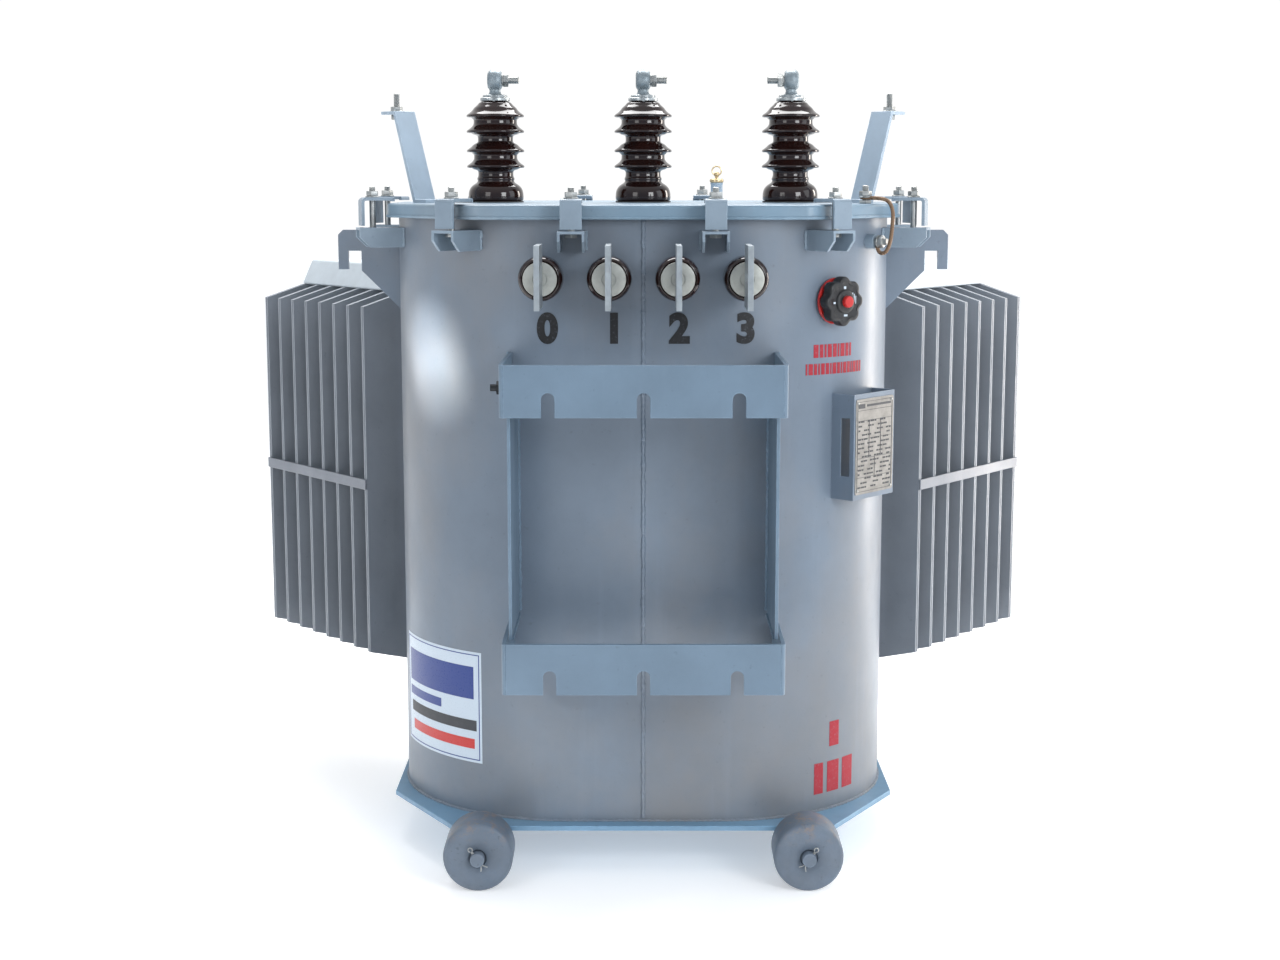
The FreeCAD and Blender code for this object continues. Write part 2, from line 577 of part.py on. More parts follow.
def make_lv_bushings():
    skirt = "-tankRadius - lvSkirt"
    body = rod("lvBody", "lvRadius", "lvReach - lvSkirt", "0", skirt, "lvHeight", "-Y")
    root = rod("lvRoot", "lvNeck", "lvSkirt", "0", "-tankRadius", "lvHeight", "-Y")
    stem = rod("lvStemRod", "lvStem", "lvStemDeep + lvSkirt", "0", skirt, "lvHeight", "Y")
    fill = rod("lvFill", "lvNeck", "lvRootDeep", "0", "-tankRadius", "lvHeight", "Y")
    tank = obround("lvTankShape", "tankRadius", "tankTop", "0")
    bushing = fuse("lvBushingSolid", body, root, stem)
    disc = rod("lvDisc", "lvDiscRadius", "lvDiscThick", "0", "-tankRadius - lvReach", "lvHeight",
               "-Y")
    start = "-tankRadius - lvReach - lvDiscThick"
    blade = box("lvBladeFlat", "bladeThick", "bladeOut", "bladeHigh", "-bladeThick / 2",
                f"{start} - bladeOut", "lvHeight + bladeLift - bladeHigh / 2")
    holes = [rod(f"lvBladeHole{number}", "bladeHoleRadius", "bladeThick", "-bladeThick / 2",
                 f"{start} - bladeHoleFirst - {number} * bladeHolePitch", "lvHeight + bladeLift",
                 "X") for number in range(2)]
    drilled = cut("lvBlade", blade, *holes)
    window_top = "coreFoot + coreSide + windowHigh"
    back = "-tankRadius + lvStemDeep + leadRadius"
    drop = rod("lvLeadDrop", "leadRadius", f"lvHeight - ({window_top}) - leadRadius", "0", back,
               f"{window_top} + leadRadius")
    run = rod("lvLeadRun", "leadRadius", f"-({back}) - lvLeadStop", "0", back,
              f"{window_top} + leadRadius", "Y")
    lead = fuse("lvLeadRod", drop, run)
    places = [worth(f"({number} - 1.5) * lvPitch") for number in range(4)]
    # the outer two stand where the wall starts to curve, so their necks reach back to it
    neck = fuse("lvNeckBlank", fill, root)
    necks = group("lvNecks", [placed(f"lvNeck{number}", neck, x)
                              for number, x in enumerate(places)])
    bodies = [placed(f"lvPlaced{number}", bushing, x) for number, x in enumerate(places)]
    keep("lv_bushings", fuse("lvBushingFuse", cut("lvNecksOutside", necks, tank), *bodies))
    for label, master in (("lv_discs", disc), ("lv_blades", drilled)):
        copies = [placed(f"{label}{number}", master, x) for number, x in enumerate(places)]
        keep(label, group(f"{label}Set", copies))
    return lead


def make_arms():
    low = LID_TOP
    top = f"{LID_TOP} + armRise"
    out = "armLean"
    # the bends sit a fifth and four fifths of the strap's thickness from its faces
    points = [("-armFoot", low), ("-armFoot", f"{low} + armThick"),
              ("-armThick / 5", f"{low} + armThick"), (out, top), (f"{out} + armFlange", top),
              (f"{out} + armFlange", f"{top} - armThick"),
              (f"{out} + armThick * 4 / 5", f"{top} - armThick"), ("armThick", low)]
    strip = padded("armStrip", "YZ_Plane", points, "armWidth", "-armWidth / 2")
    at = f"{out} + armBoltOut"
    hole = rod("armHole", "armBolt", "armThick", "0", at, f"{top} - armThick")
    arm = cut("arm", strip, hole)
    bolt = rod("armBoltShank", "armBolt", "armBoltOver + armThick + armNutHigh", "0", at,
               f"{top} - armThick - armNutHigh")
    under = hexagon("armHeadHex", "armNutFlat", "armNutHigh", "0", at,
                    f"{top} - armThick - armNutHigh")
    over = hexagon("armNutHex", "armNutFlat", "armNutHigh", "0", at, top)
    fixing = fuse("armFixing", bolt, under, over)
    x, y = worth("lidHalfWidth - armInset"), worth("armBack")
    turn = -(90.0 - worth("armTurn"))
    for label, master in (("arrester_brackets", arm), ("arrester_bolts", fixing)):
        right = placed(f"{label}Right", master, x, y, 0.0, turn)
        keep(label, group(f"{label}Set", [right, mirrored(f"{label}Left", right)]))


def make_relief():
    x, y = "reliefRight", "reliefInset - tankRadius"
    nut = hexagon("reliefHex", "reliefNutFlat", "reliefNutHigh", x, y, LID_TOP)
    pipe = rod("reliefPipe", "reliefRadius", "reliefHigh", x, y, LID_TOP)
    stem = rod("reliefStem", "reliefRadius - reliefWall", "lidThick + reliefTail", x, y,
               f"{LID_TOP} - lidThick - reliefTail")
    cap = rod("reliefCap", "reliefCapRadius", "reliefCapHigh", x, y, f"{LID_TOP} + reliefHigh")
    well = rod("reliefWell", "reliefPin + reliefFit", "reliefCapHigh + reliefWellDeep", x, y,
               f"{LID_TOP} + reliefHigh - reliefWellDeep")
    keep("relief_valve", cut("reliefValve", fuse("reliefBlank", nut, pipe, stem, cap), well))
    top = f"{LID_TOP} + reliefHigh + reliefCapHigh"
    pin = rod("reliefPinRod", "reliefPin", "reliefPinDeep + reliefPinOut", x, y,
              f"{top} - reliefPinDeep")
    ring = doc.addObject("Part::Torus", "reliefRingWire")
    bind(ring, "Radius1", "reliefRing")
    bind(ring, "Radius2", "reliefWire")
    ring.Placement = FreeCAD.Placement(FreeCAD.Vector(), TURNS["Y"])
    seat(ring, x, y, f"{top} + reliefPinOut - reliefWire + reliefRing")
    keep("relief_pull_ring", fuse("reliefPull", pin, ring))


def make_tap_changer():
    turn = worth("tapTurn")
    x, y = on_wall(turn)
    deep = "tapFlangeThick + tapFlangeSink"
    flange = cut("tapFlangeFit",
                 rod("tapFlangeDisc", "tapFlange", deep, "0", "tapFlangeSink", "tapHeight", "-Y"),
                 rod("tapFlangeBore", "tapShaft + tapClear", deep, "0", "tapFlangeSink",
                     "tapHeight", "-Y"),
                 rod("tapFlangeTank", "tankRadius", "tankTop", "0", "tankRadius", "0"))
    start = "-tapFlangeThick - tapGap"
    hub = rod("tapHub", "tapKnob - tapLobe / 2", "tapKnobThick", "0", start, "tapHeight", "-Y")
    lobes = []
    for number in range(int(worth("tapLobes"))):
        angle = f"{number} * 360 / tapLobes"
        lobes.append(rod(f"tapLobe{number}", "tapLobe", "tapKnobThick * tapLobeShare",
                         f"(tapKnob - tapLobe / 2) * cos({angle})", start,
                         f"tapHeight + (tapKnob - tapLobe / 2) * sin({angle})", "-Y"))
    lock = rod("tapLockPin", "tapLock", "tapLockHigh", "0", f"{start} - tapKnobThick",
               "tapHeight", "-Y")
    inside = "tapKnobThick - tapKnobSkin"
    bore = rod("tapKnobBore", "tapShaft", inside, "0", start, "tapHeight", "-Y")
    knob = cut("tapKnobSolid", fuse("tapKnobBlank", hub, *lobes), bore)
    shaft = rod("tapShaftRod", "tapShaft", f"tapShaftOut + tapFlangeThick + tapGap + {inside}",
                "0", "tapShaftOut", "tapHeight", "-Y")
    body = cut("tapSwitchBore",
               fuse("tapSwitchBlank",
                    rod("tapSwitchCase", "tapBody", "tapBodyLong", "0", "tapGland", "tapHeight",
                        "Y"),
                    rod("tapSwitchGland", "tapGland", "tapGland", "0", "tapSeal", "tapHeight",
                        "Y")),
               rod("tapSwitchHole", "tapShaft + tapClear", "tapShaftOut + tapTailRoom", "0", "0",
                   "tapHeight", "Y"))
    for label, master in (("tap_flange", flange), ("tap_knob", knob), ("tap_shaft", shaft),
                          ("tap_lock_cap", lock), ("tap_switch", body)):
        keep(label, placed(f"{label}Seat", master, x, y, 0.0, turn))


def make_name_plate():
    turn = worth("plateTurn")
    x, y = on_wall(turn)
    half = "plateWide / 2"
    sheet_box = box("holderBox", "plateWide", "plateStand + plateRoot", "plateHigh", f"-{half}",
                    "-plateStand", "plateFoot")
    hollow = box("holderHollow", "plateWide - 2 * plateSheet", "plateStand + plateRoot",
                 "plateHigh", f"-{half} + plateSheet", "-plateStand + plateSheet", "plateFoot")
    windows = box("holderWindows", "plateWide", "plateSlotWide", "plateSlotHigh", f"-{half}",
                  "-plateStand + plateMargin",
                  "plateFoot + (plateHigh - plateSlotHigh) / 2")
    wall = rod("holderWall", "tankRadius", "tankTop", "0", "tankRadius", "0")
    holder = cut("holder", sheet_box, hollow, windows, wall)
    plate = box("plateSheetMetal", "plateWide - plateMargin", "plateThick",
                "plateHigh - 2 * plateMargin", f"-{half} + plateMargin / 2",
                "-plateStand - plateThick", "plateFoot + plateMargin")
    rivets = []
    for across in (-1, 1):
        for up in (0, 1):
            rivets.append(rod(f"rivet{across + 1}{up}", "rivetRadius", "rivetHigh",
                              f"{across} * (plateWide / 2 - plateMargin / 2 - rivetInset)",
                              "-plateStand - plateThick",
                              f"plateFoot + plateMargin + rivetInset"
                              f" + {up} * (plateHigh - 2 * plateMargin - 2 * rivetInset)", "-Y"))
    for label, master in (("name_plate_holder", holder), ("name_plate", plate),
                          ("name_plate_rivets", group("rivets", rivets))):
        keep(label, placed(f"{label}Seat", master, x, y, 0.0, turn))


def fin_frame():
    """Where a radiator's axis starts, and the turn that points +Y out along it."""
    angle = math.radians(worth("finTurn"))
    out = FreeCAD.Vector(math.cos(angle), math.sin(angle), 0)
    side = FreeCAD.Vector(math.sin(angle), -math.cos(angle), 0)
    spot = FreeCAD.Vector(worth("tankStraight / 2"), 0, 0) + side * worth("finShift")
    return spot, out, worth("finTurn") - 90.0


def make_radiators():
    spot, out, turn = fin_frame()
    half = "finWidth / 2"
    crown = "finHead + finShoulder"
    corner = f"{half} - finShoulderRun"
    last = "finStart + (finCount - 1) * finPitch + finThick"
    points = [(f"-{half}", "finFoot"), (f"-({corner})", "finFoot - finShoulder"),
              (corner, "finFoot - finShoulder"), (half, "finFoot"), (half, "finHead"),
              (corner, crown), (f"-({corner})", crown), (f"-{half}", "finHead")]
    # a pad on XZ runs towards -Y, so the first fin's far face is one thickness out
    fin = padded("finPanel", "XZ_Plane", points, "finThick", "-finStart - finThick")
    hole = rod("finHole", "pipeRadius + pipeFit", "finThick", "0", "finStart", "pipeFoot", "Y")
    bored = cut("fin", fin, hole)
    duct = padded("ductBar", "XZ_Plane",
                  [("-ductBase / 2", crown), ("ductBase / 2", crown),
                   ("ductCrown / 2", f"{crown} + ductHigh"),
                   ("-ductCrown / 2", f"{crown} + ductHigh")],
                  f"{last} + ductEnd", f"-({last}) - ductEnd")
    pipe = rod("pipeBar", "pipeRadius", f"{last} + ductEnd", "0", "0", "pipeFoot", "Y")
    strap = box("strapBar", "strapThick", f"{last} - finStart", "strapHigh", half, "finStart",
                "strapLevel - strapHigh / 2")
    tank = obround("radiatorTank", "tankRadius", "tankTop", "0")
    step = worth("finPitch")
    fins = []
    for number in range(int(worth("finCount"))):
        place = spot + out * (step * number)
        fins.append(placed(f"fin{number}", bored, place.x, place.y, 0.0, turn))
    rows = group("finRow", fins)
    seats = {"fins": rows}
    for word, master in (("upper_duct", duct), ("lower_pipe", pipe)):
        moved = placed(f"{word}Seat", master, spot.x, spot.y, 0.0, turn)
        seats[word] = cut(f"{word}Open", moved, tank)
    strap_seat = placed("strapSeat", strap, spot.x, spot.y, 0.0, turn)
    keep("radiator_straps", group("straps", [strap_seat, mirrored("strapLeft", strap_seat)]))
    for word, master in seats.items():
        keep(f"radiator_{word}_right", master)
        keep(f"radiator_{word}_left", mirrored(f"{word}Left", master))


def make_earth():
    """The bolt on the lid, the boss on the wall and the jumper between them."""
    turn = worth("earthTurn")
    lid_x, lid_y = earth_lid_place()
    wall_x, wall_y = on_wall(turn)
    lid_top = worth(LID_TOP)
    bolt = rod("earthBoltShank", "earthBolt", "earthBoltLong + lidThick", "0", "0",
               f"{LID_TOP} - lidThick")
    nut = hexagon("earthNut", "earthNutFlat", "earthNutHigh", "0", "0",
                  f"{LID_TOP} + earthLift + earthNutGap")
    spacer = rod("earthSpacer", "earthNutFlat", "earthLift - earthWire", "0", "0", LID_TOP)
    top_set = placed("earthTopSeat", fuse("earthTop", bolt, nut, spacer), lid_x, lid_y, 0.0, turn)
    boss = cut("earthBossFit",
               rod("earthBossRod", "earthBoss", "earthBossLong + earthSink", "0", "earthSink",
                    "earthLevel", "-Y"),
               rod("earthBossTank", "tankRadius", "tankTop", "0", "tankRadius", "0"))
    stub = hexagon("earthStub", "earthNutFlat", "earthNutHigh", "0",
                   "-earthBossLong - 2 * earthWire", "earthLevel", "-Y")
    pin = rod("earthPin", "earthBolt", "earthNutHigh + 2 * earthWire + earthPinOver", "0",
              "-earthBossLong", "earthLevel", "-Y")
    low_set = placed("earthLowSeat", fuse("earthLow", stub, pin), wall_x, wall_y, 0.0, turn)
    keep("earth_boss", placed("earthBossSeat", boss, wall_x, wall_y, 0.0, turn))
    bolts = group("earthBoltPair", [top_set, low_set])
    keep("earth_bolts", bolts)
    angle = math.radians(turn)
    out = FreeCAD.Vector(math.sin(angle), -math.cos(angle), 0)
    centre = FreeCAD.Vector(worth("tankStraight / 2"), 0, 0)
    level = lid_top + worth("earthLift")
    end = worth("tankRadius + earthBossLong + earthWire")
    far = worth("tankRadius + earthOut")
    low = worth("earthLevel - earthBoss - earthHang")
    route = [(worth("tankRadius - earthLidIn + earthBolt"), level), (far, level), (far, low),
             (end, low), (end, worth("earthLevel - earthBolt"))]
    spots = [centre + out * reach + UP * height for reach, height in route]
    tube = bent_tube(spots, worth("earthBend"), worth("earthWire"))
    jumper = doc.addObject("Part::Feature", "earthTube")
    jumper.Shape = tube
    keep("earth_jumper", jumper)


def bent_tube(spots, bend, radius):
    """A round tube along straight runs joined by tangent arcs."""
    edges = []
    start = spots[0]
    for before, corner, after in zip(spots, spots[1:], spots[2:]):
        inward = (corner - before).normalize()
        onward = (after - corner).normalize()
        turn = inward.getAngle(onward)
        trim = bend * math.tan(turn / 2)
        first = corner - inward * trim
        last = corner + onward * trim
        middle_way = (onward - inward).normalize()
        middle = corner + middle_way * (bend / math.cos(turn / 2) - bend)
        edges.append(Part.LineSegment(start, first).toShape())
        edges.append(Part.Arc(first, middle, last).toShape())
        start = last
    edges.append(Part.LineSegment(start, spots[-1]).toShape())
    path = Part.Wire(edges)
    run = (spots[1] - spots[0]).normalize()
    ring = Part.Wire([Part.Circle(spots[0], run, radius).toShape()])
    tube = path.makePipeShell([ring], True, True)
    print("jumper length", round(path.Length, 1), "bend radius", bend)
    return tube


def make_core():
    low = "coreFoot"
    half = "coreSide / 2"
    width = "2 * limbPitch + coreSide"
    yokes = [box(f"yoke{number}", width, "coreSide", "coreSide", f"-({width}) / 2", f"-{half}", z)
             for number, z in enumerate((low, f"{low} + coreSide + windowHigh"))]
    limbs = [box(f"limb{number}", "coreSide", "coreSide", "windowHigh + 2 * coreSide",
                 f"{number - 1} * limbPitch - {half}", f"-{half}", low) for number in range(3)]
    keep("core", fuse("coreStack", *yokes, *limbs))
    start = f"{low} + coreSide + coilGap"
    height = "windowHigh - 2 * coilGap"
    for label, inner, outer in (("lv_windings", "lvCoilInner", "lvCoilOuter"),
                                ("hv_windings", "hvCoilInner", "hvCoilOuter")):
        rings = []
        for number in range(3):
            x = f"{number - 1} * limbPitch"
            rings.append(cut(f"{label}{number}",
                             rod(f"{label}Out{number}", outer, height, x, "0", start),
                             rod(f"{label}In{number}", inner, height, x, "0", start)))
        keep(label, group(f"{label}Set", rings))
    blocks = []
    for number in range(3):
        for end, z in enumerate((f"{low} + coreSide", f"{start} + {height}")):
            disc = rod(f"spacer{number}{end}", "hvCoilOuter", "coilGap",
                       f"{number - 1} * limbPitch", "0", z)
            hole = box(f"spacerHole{number}{end}", "coreSide", "coreSide", "coilGap",
                       f"{number - 1} * limbPitch - {half}", f"-{half}", z)
            blocks.append(cut(f"spacerCut{number}{end}", disc, hole))
    spread = cut("packing", group("packingSet", blocks), *lead_room())
    keep("coil_packing", spread)
    make_yoke_bars(low, half)


def lead_room():
    """Room for the lead rods that rise through the upper packing."""
    return [rod(f"packRod{number}", "leadRadius", "coilGap", f"{number - 1} * hvPitch",
                "hvCoilOuter - leadRadius * 2", "coreFoot + coreSide + windowHigh - coilGap")
            for number in range(3)]


def make_yoke_bars(low, half):
    bars = []
    foot = "tankFoot"
    top = f"{low} + coreSide + windowHigh + coreSide - yokeBarHigh"
    for number, z in enumerate((foot, top)):
        for side, y in enumerate((f"-{half} - yokeBar", half)):
            bars.append(box(f"yokeBar{number}{side}", "2 * (tieSpread + yokeBarOver)", "yokeBar",
                            "yokeBarHigh", "-(tieSpread + yokeBarOver)", y, z))
    keep("core_clamps", group("yokeBars", bars))
    rods = []
    start = "tankFoot + yokeBarHigh"
    for side, x in enumerate(("-(tieSpread)", "tieSpread")):
        for end, y in enumerate((f"-({half}) - tieRadius", f"{half} + tieRadius")):
            rods.append(rod(f"tie{side}{end}", "tieRadius", f"{top} - ({start})", x, y, start))
    keep("core_tie_rods", group("ties", rods))


def make_leads(lv_lead):
    deep = f"{LID_TOP} + hvGasket - hvStemDeep"
    low = "coreFoot + coreSide + windowHigh - coilGap"
    upper = [rod(f"hvLead{number}", "leadRadius", f"{deep} - ({low})",
                 f"{number - 1} * hvPitch", "hvCoilOuter - leadRadius * 2", low)
             for number in range(3)]
    tails = [rod(f"hvTail{number}", "leadRadius", "hvCoilOuter - leadRadius - hvBack",
                 f"{number - 1} * hvPitch", "hvBack - leadRadius", f"{deep} - leadRadius", "Y")
             for number in range(3)]
    leads = [fuse(f"hvRun{number}", first, second)
             for number, (first, second) in enumerate(zip(upper, tails))]
    stems = cut("hvRunsOpen", group("hvRuns", leads),
                box("hvRunsAbove", "4 * hvPitch", "4 * hvPitch", "hvStemDeep", "-2 * hvPitch",
                    "-2 * hvPitch", deep))
    keep("hv_leads", stems)
    lead_copies = [placed(f"lvLead{number}", lv_lead, worth(f"({number} - 1.5) * lvPitch"))
                   for number in range(4)]
    keep("lv_leads", group("lvLeadSet", lead_copies))


make_tank()
make_plates()
make_lid()
make_beams()
make_wheels()
make_axles()
make_bracket("pole_bracket_upper", "bracketUpper")
make_bracket("pole_bracket_lower", "bracketLower")
make_ribs()
make_stop_bolt()
make_clamps()
make_hooks()
make_hv_bushings()
lv_lead_master = make_lv_bushings()
make_arms()
make_relief()
make_tap_changer()
make_name_plate()
make_radiators()
make_earth()
make_core()
make_leads(lv_lead_master)
doc.recompute()

failed = [obj.Name for obj in doc.Objects if {"Invalid", "Error"} & set(obj.State)]
if failed:
    raise RuntimeError(f"objects that failed: {failed}")
for obj in NODES:
    if obj.Shape.isNull() or not obj.Shape.isValid() or not obj.Shape.Solids:
        raise RuntimeError(f"bad shape: {obj.Label}")

os.makedirs("parts", exist_ok=True)
for obj in NODES:
    obj.Shape.exportStep(f"parts/{obj.Label}.step")
print(len(NODES), "nodes")
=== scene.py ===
import math

import bmesh
import bpy
from mathutils import Matrix, Vector, noise


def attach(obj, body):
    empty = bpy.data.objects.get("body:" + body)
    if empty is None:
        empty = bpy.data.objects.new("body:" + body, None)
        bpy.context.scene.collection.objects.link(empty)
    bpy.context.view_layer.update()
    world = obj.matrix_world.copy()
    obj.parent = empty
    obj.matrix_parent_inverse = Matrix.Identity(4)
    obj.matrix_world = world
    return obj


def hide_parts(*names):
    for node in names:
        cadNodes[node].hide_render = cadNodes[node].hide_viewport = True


noise.seed_set(7)  # so that the weld beads sway the same way in every run
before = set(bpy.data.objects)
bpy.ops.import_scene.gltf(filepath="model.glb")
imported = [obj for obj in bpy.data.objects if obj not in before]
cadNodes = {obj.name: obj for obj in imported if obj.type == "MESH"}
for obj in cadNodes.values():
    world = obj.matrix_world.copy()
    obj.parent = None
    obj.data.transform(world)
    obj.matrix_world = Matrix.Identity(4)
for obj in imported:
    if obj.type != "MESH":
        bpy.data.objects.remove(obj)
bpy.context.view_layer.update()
mainBody = "transformer"

# the tank is an obround: two half circles joined by flat front and back walls
tank = {"radius": 0.275, "straight": 0.120, "foot": 0.078, "top": 1.021}
lidTop = 1.030
quarterTurn = math.pi / 2
sameSpot = 1e-6  # vertices nearer than this are one
flatSlack = 1e-5  # how far a vertex may stray from a flat face
print("frame loaded:", len(cadNodes), "nodes")


# small helpers for meshes
def newVerts(made):
    return [item for item in made if isinstance(item, bmesh.types.BMVert)]


def facedOut(bm):
    bmesh.ops.recalc_face_normals(bm, faces=bm.faces)
    return bm


def placed(bm, matrix):
    bmesh.ops.transform(bm, matrix=matrix, verts=bm.verts)
    return bm


def everything(bm):
    return bm.verts[:] + bm.edges[:] + bm.faces[:]


def extruded(bm, edges):
    # the new vertices and the far ring of edges
    made = bmesh.ops.extrude_edge_only(bm, edges=edges)["geom"]
    return newVerts(made), ringEdges(made)


def raisedFaces(bm, faces, vec):
    made = bmesh.ops.extrude_face_region(bm, geom=faces)["geom"]
    bmesh.ops.translate(bm, verts=newVerts(made), vec=vec)


def roundCorners(bm, verts, offset, segments):
    bmesh.ops.bevel(bm, geom=verts, offset=offset, segments=segments, profile=0.5, affect="VERTICES",
        material=-1)


def cutAcross(bm, geom, place, way=(1, 0, 0)):
    bmesh.ops.bisect_plane(bm, geom=geom, plane_co=place, plane_no=way)


def ringEdges(made):
    # the far ring of an extrusion: edges whose two ends are both new
    fresh = set(newVerts(made))
    edges = [item for item in made if isinstance(item, bmesh.types.BMEdge)]
    return [edge for edge in edges if edge.verts[0] in fresh and edge.verts[1] in fresh]


def turned(rows, steps=48, axis="Z"):
    # rows are (radius, height); the line is spun once round and then pointed along axis
    bm = bmesh.new()
    line = [bm.verts.new((radius, 0, height)) for radius, height in rows]
    edges = [bm.edges.new(pair) for pair in zip(line, line[1:])]
    bmesh.ops.spin(bm, geom=line + edges, cent=(0, 0, 0), axis=(0, 0, 1), angle=math.tau, steps=steps,
        use_merge=True)
    bmesh.ops.remove_doubles(bm, verts=bm.verts, dist=sameSpot)
    turn, about = {"Z": (0, "Z"), "X": (quarterTurn, "Y"), "-Y": (quarterTurn, "X"),
        "Y": (-quarterTurn, "X")}[axis]
    return placed(facedOut(bm), Matrix.Rotation(turn, 4, about))


def swept(path, widths, sides=10, closed=False):
    # carries a ring of edges along a path; widths is one radius, or one for each point
    points = [Vector(point) for point in path]
    last = len(points) - 1
    radii = widths if isinstance(widths, list) else [widths] * len(points)
    ways = []
    for number in range(len(points)):
        before = points[number - 1] if closed else points[max(number - 1, 0)]
        after = points[(number + 1) % len(points)] if closed else points[min(number + 1, last)]
        ways.append((after - before).normalized())
    bm = bmesh.new()
    ring = bmesh.ops.create_circle(bm, segments=sides, radius=1.0)["verts"]
    edges = list(bm.edges)
    firstEdges = edges
    turn = Vector((0, 0, 1)).rotation_difference(ways[0])
    for vert in ring:
        vert.co = points[0] + turn @ (vert.co * radii[0])
    for number in range(1, len(points)):
        verts, edges = extruded(bm, edges)
        step = ways[number - 1].rotation_difference(ways[number])
        for vert in verts:
            away = (vert.co - points[number - 1]) / radii[number - 1]
            vert.co = points[number] + step @ away * radii[number]
    if closed:
        bmesh.ops.bridge_loops(bm, edges=firstEdges + edges)
    else:
        bmesh.ops.holes_fill(bm, edges=bm.edges, sides=0)
    return facedOut(bm)


def aroundTank(rows, segments=160):
    # rows are (distance from the arc centres, height), carried round the obround and closed
    bm = bmesh.new()
    ring = bmesh.ops.create_circle(bm, segments=segments, radius=1.0)["verts"]
    bmesh.ops.rotate(bm, verts=ring, cent=(0, 0, 0), matrix=Matrix.Rotation(math.pi / segments, 3, "Z"))
    edges = list(bm.edges)
    firstEdges = edges
    for vert in ring:
        centre = math.copysign(tank["straight"], vert.co.x)
        vert.co = (centre + vert.co.x * rows[0][0], vert.co.y * rows[0][0], rows[0][1])
    for radius, height in rows[1:]:
        verts, edges = extruded(bm, edges)
        for vert in verts:
            centre = math.copysign(tank["straight"], vert.co.x)
            away = Vector((vert.co.x - centre, vert.co.y)).normalized()
            vert.co = (centre + away.x * radius, away.y * radius, height)
    bmesh.ops.bridge_loops(bm, edges=firstEdges + edges)
    return facedOut(bm)


def slab(corners, low, high):
    # a flat outline in XY raised from low to high
    bm = bmesh.new()
    face = bm.faces.new([bm.verts.new((x, y, low)) for x, y in corners])
    raisedFaces(bm, [face], (0, 0, high - low))
    return facedOut(bm)


def brick(low, high):
    bm = bmesh.new()
    low, high = Vector(low), Vector(high)
    size = high - low
    place = Matrix.Translation((low + high) / 2) @ Matrix.Diagonal((*size, 1))
    bmesh.ops.create_cube(bm, size=1, matrix=place)
    return bm


def bevelled(bm, edges, offset, segments=3):
    bmesh.ops.bevel(bm, geom=edges, offset=offset, offset_type="OFFSET", segments=segments,
        profile=0.5, affect="EDGES", material=-1, clamp_overlap=True)
    return bm


def sharpEdges(bm, degrees=30):
    limit = math.radians(degrees)
    return [edge for edge in bm.edges if len(edge.link_faces) == 2 and edge.calc_face_angle(0) > limit]


def moved(bm, x=0.0, y=0.0, z=0.0, turn=0.0, axis="Z"):
    return placed(bm, Matrix.Translation((x, y, z)) @ Matrix.Rotation(math.radians(turn), 4, axis))


def meshOf(source, name="part"):
    mesh = bpy.data.meshes.new(name)
    source.to_mesh(mesh)
    source.free()
    return mesh


def stamped(source, places):
    # copies of one shape, one at each place
    mesh = meshOf(source)
    bm = bmesh.new()
    for place in places:
        start = len(bm.verts)
        bm.from_mesh(mesh)
        bm.verts.ensure_lookup_table()
        bmesh.ops.transform(bm, matrix=place, verts=bm.verts[start:])
    bpy.data.meshes.remove(mesh)
    return facedOut(bm)


def gathered(*parts):
    bm = bmesh.new()
    for part in parts:
        mesh = meshOf(part)
        bm.from_mesh(mesh)
        bpy.data.meshes.remove(mesh)
    return bm


def mirroredToo(bm, axis="X"):
    # the shape and its mirror image
    bmesh.ops.mirror(bm, geom=everything(bm), axis=axis, matrix=Matrix.Identity(4), merge_dist=0)
    return facedOut(bm)


def pieceFrom(bm, name, material, body=mainBody, replaces=(), sharp=35):
    for face in bm.faces:
        face.smooth = True
    for edge in bm.edges:
        edge.smooth = len(edge.link_faces) == 2 and edge.calc_face_angle(0) < math.radians(sharp)
    mesh = meshOf(bm, name)
    mesh.materials.append(material)
    piece = bpy.data.objects.new(name, mesh)
    bpy.context.scene.collection.objects.link(piece)
    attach(piece, body)
    if replaces:
        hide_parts(*replaces)
    return piece


def softEdges(piece, width, segments=2, angle=30):
    bevel = piece.modifiers.new("Soft edges", "BEVEL")
    bevel.width = width
    bevel.segments = segments
    bevel.limit_method = "ANGLE"
    bevel.angle_limit = math.radians(angle)
    bevel.harden_normals = True
    return piece


def copied(nodeName):
    # a merged copy of a CAD node's mesh, with its flat faces made whole
    bm = bmesh.new()
    bm.from_mesh(cadNodes[nodeName].data)
    bmesh.ops.remove_doubles(bm, verts=bm.verts, dist=sameSpot)
    bmesh.ops.dissolve_limit(bm, angle_limit=math.radians(0.6), verts=bm.verts, edges=bm.edges,
        use_dissolve_boundaries=False)
    return bm


def refined(nodeName, name, material, width, segments=2):
    # a CAD node kept in shape, with worn edges and its own finish
    made = pieceFrom(copied(nodeName), name, material, replaces=[nodeName])
    return softEdges(made, width, segments)


# materials
def nodeAt(tree, kind, inputs=None, **settings):
    made = tree.nodes.new(kind)
    for key, value in settings.items():
        setattr(made, key, value)
    for key, value in (inputs or {}).items():
        if isinstance(value, bpy.types.NodeSocket):
            tree.links.new(value, made.inputs[key])
        else:
            made.inputs[key].default_value = value
    return made


def noiseOf(tree, vector, scale, detail=3.0, rough=0.55, stretch=(1, 1, 1)):
    if stretch != (1, 1, 1):
        vector = nodeAt(tree, "ShaderNodeMapping", {"Vector": vector, "Scale": stretch}).outputs[0]
    found = nodeAt(tree, "ShaderNodeTexNoise", {"Vector": vector, "Scale": scale, "Detail": detail,
        "Roughness": rough})
    return found.outputs[0]


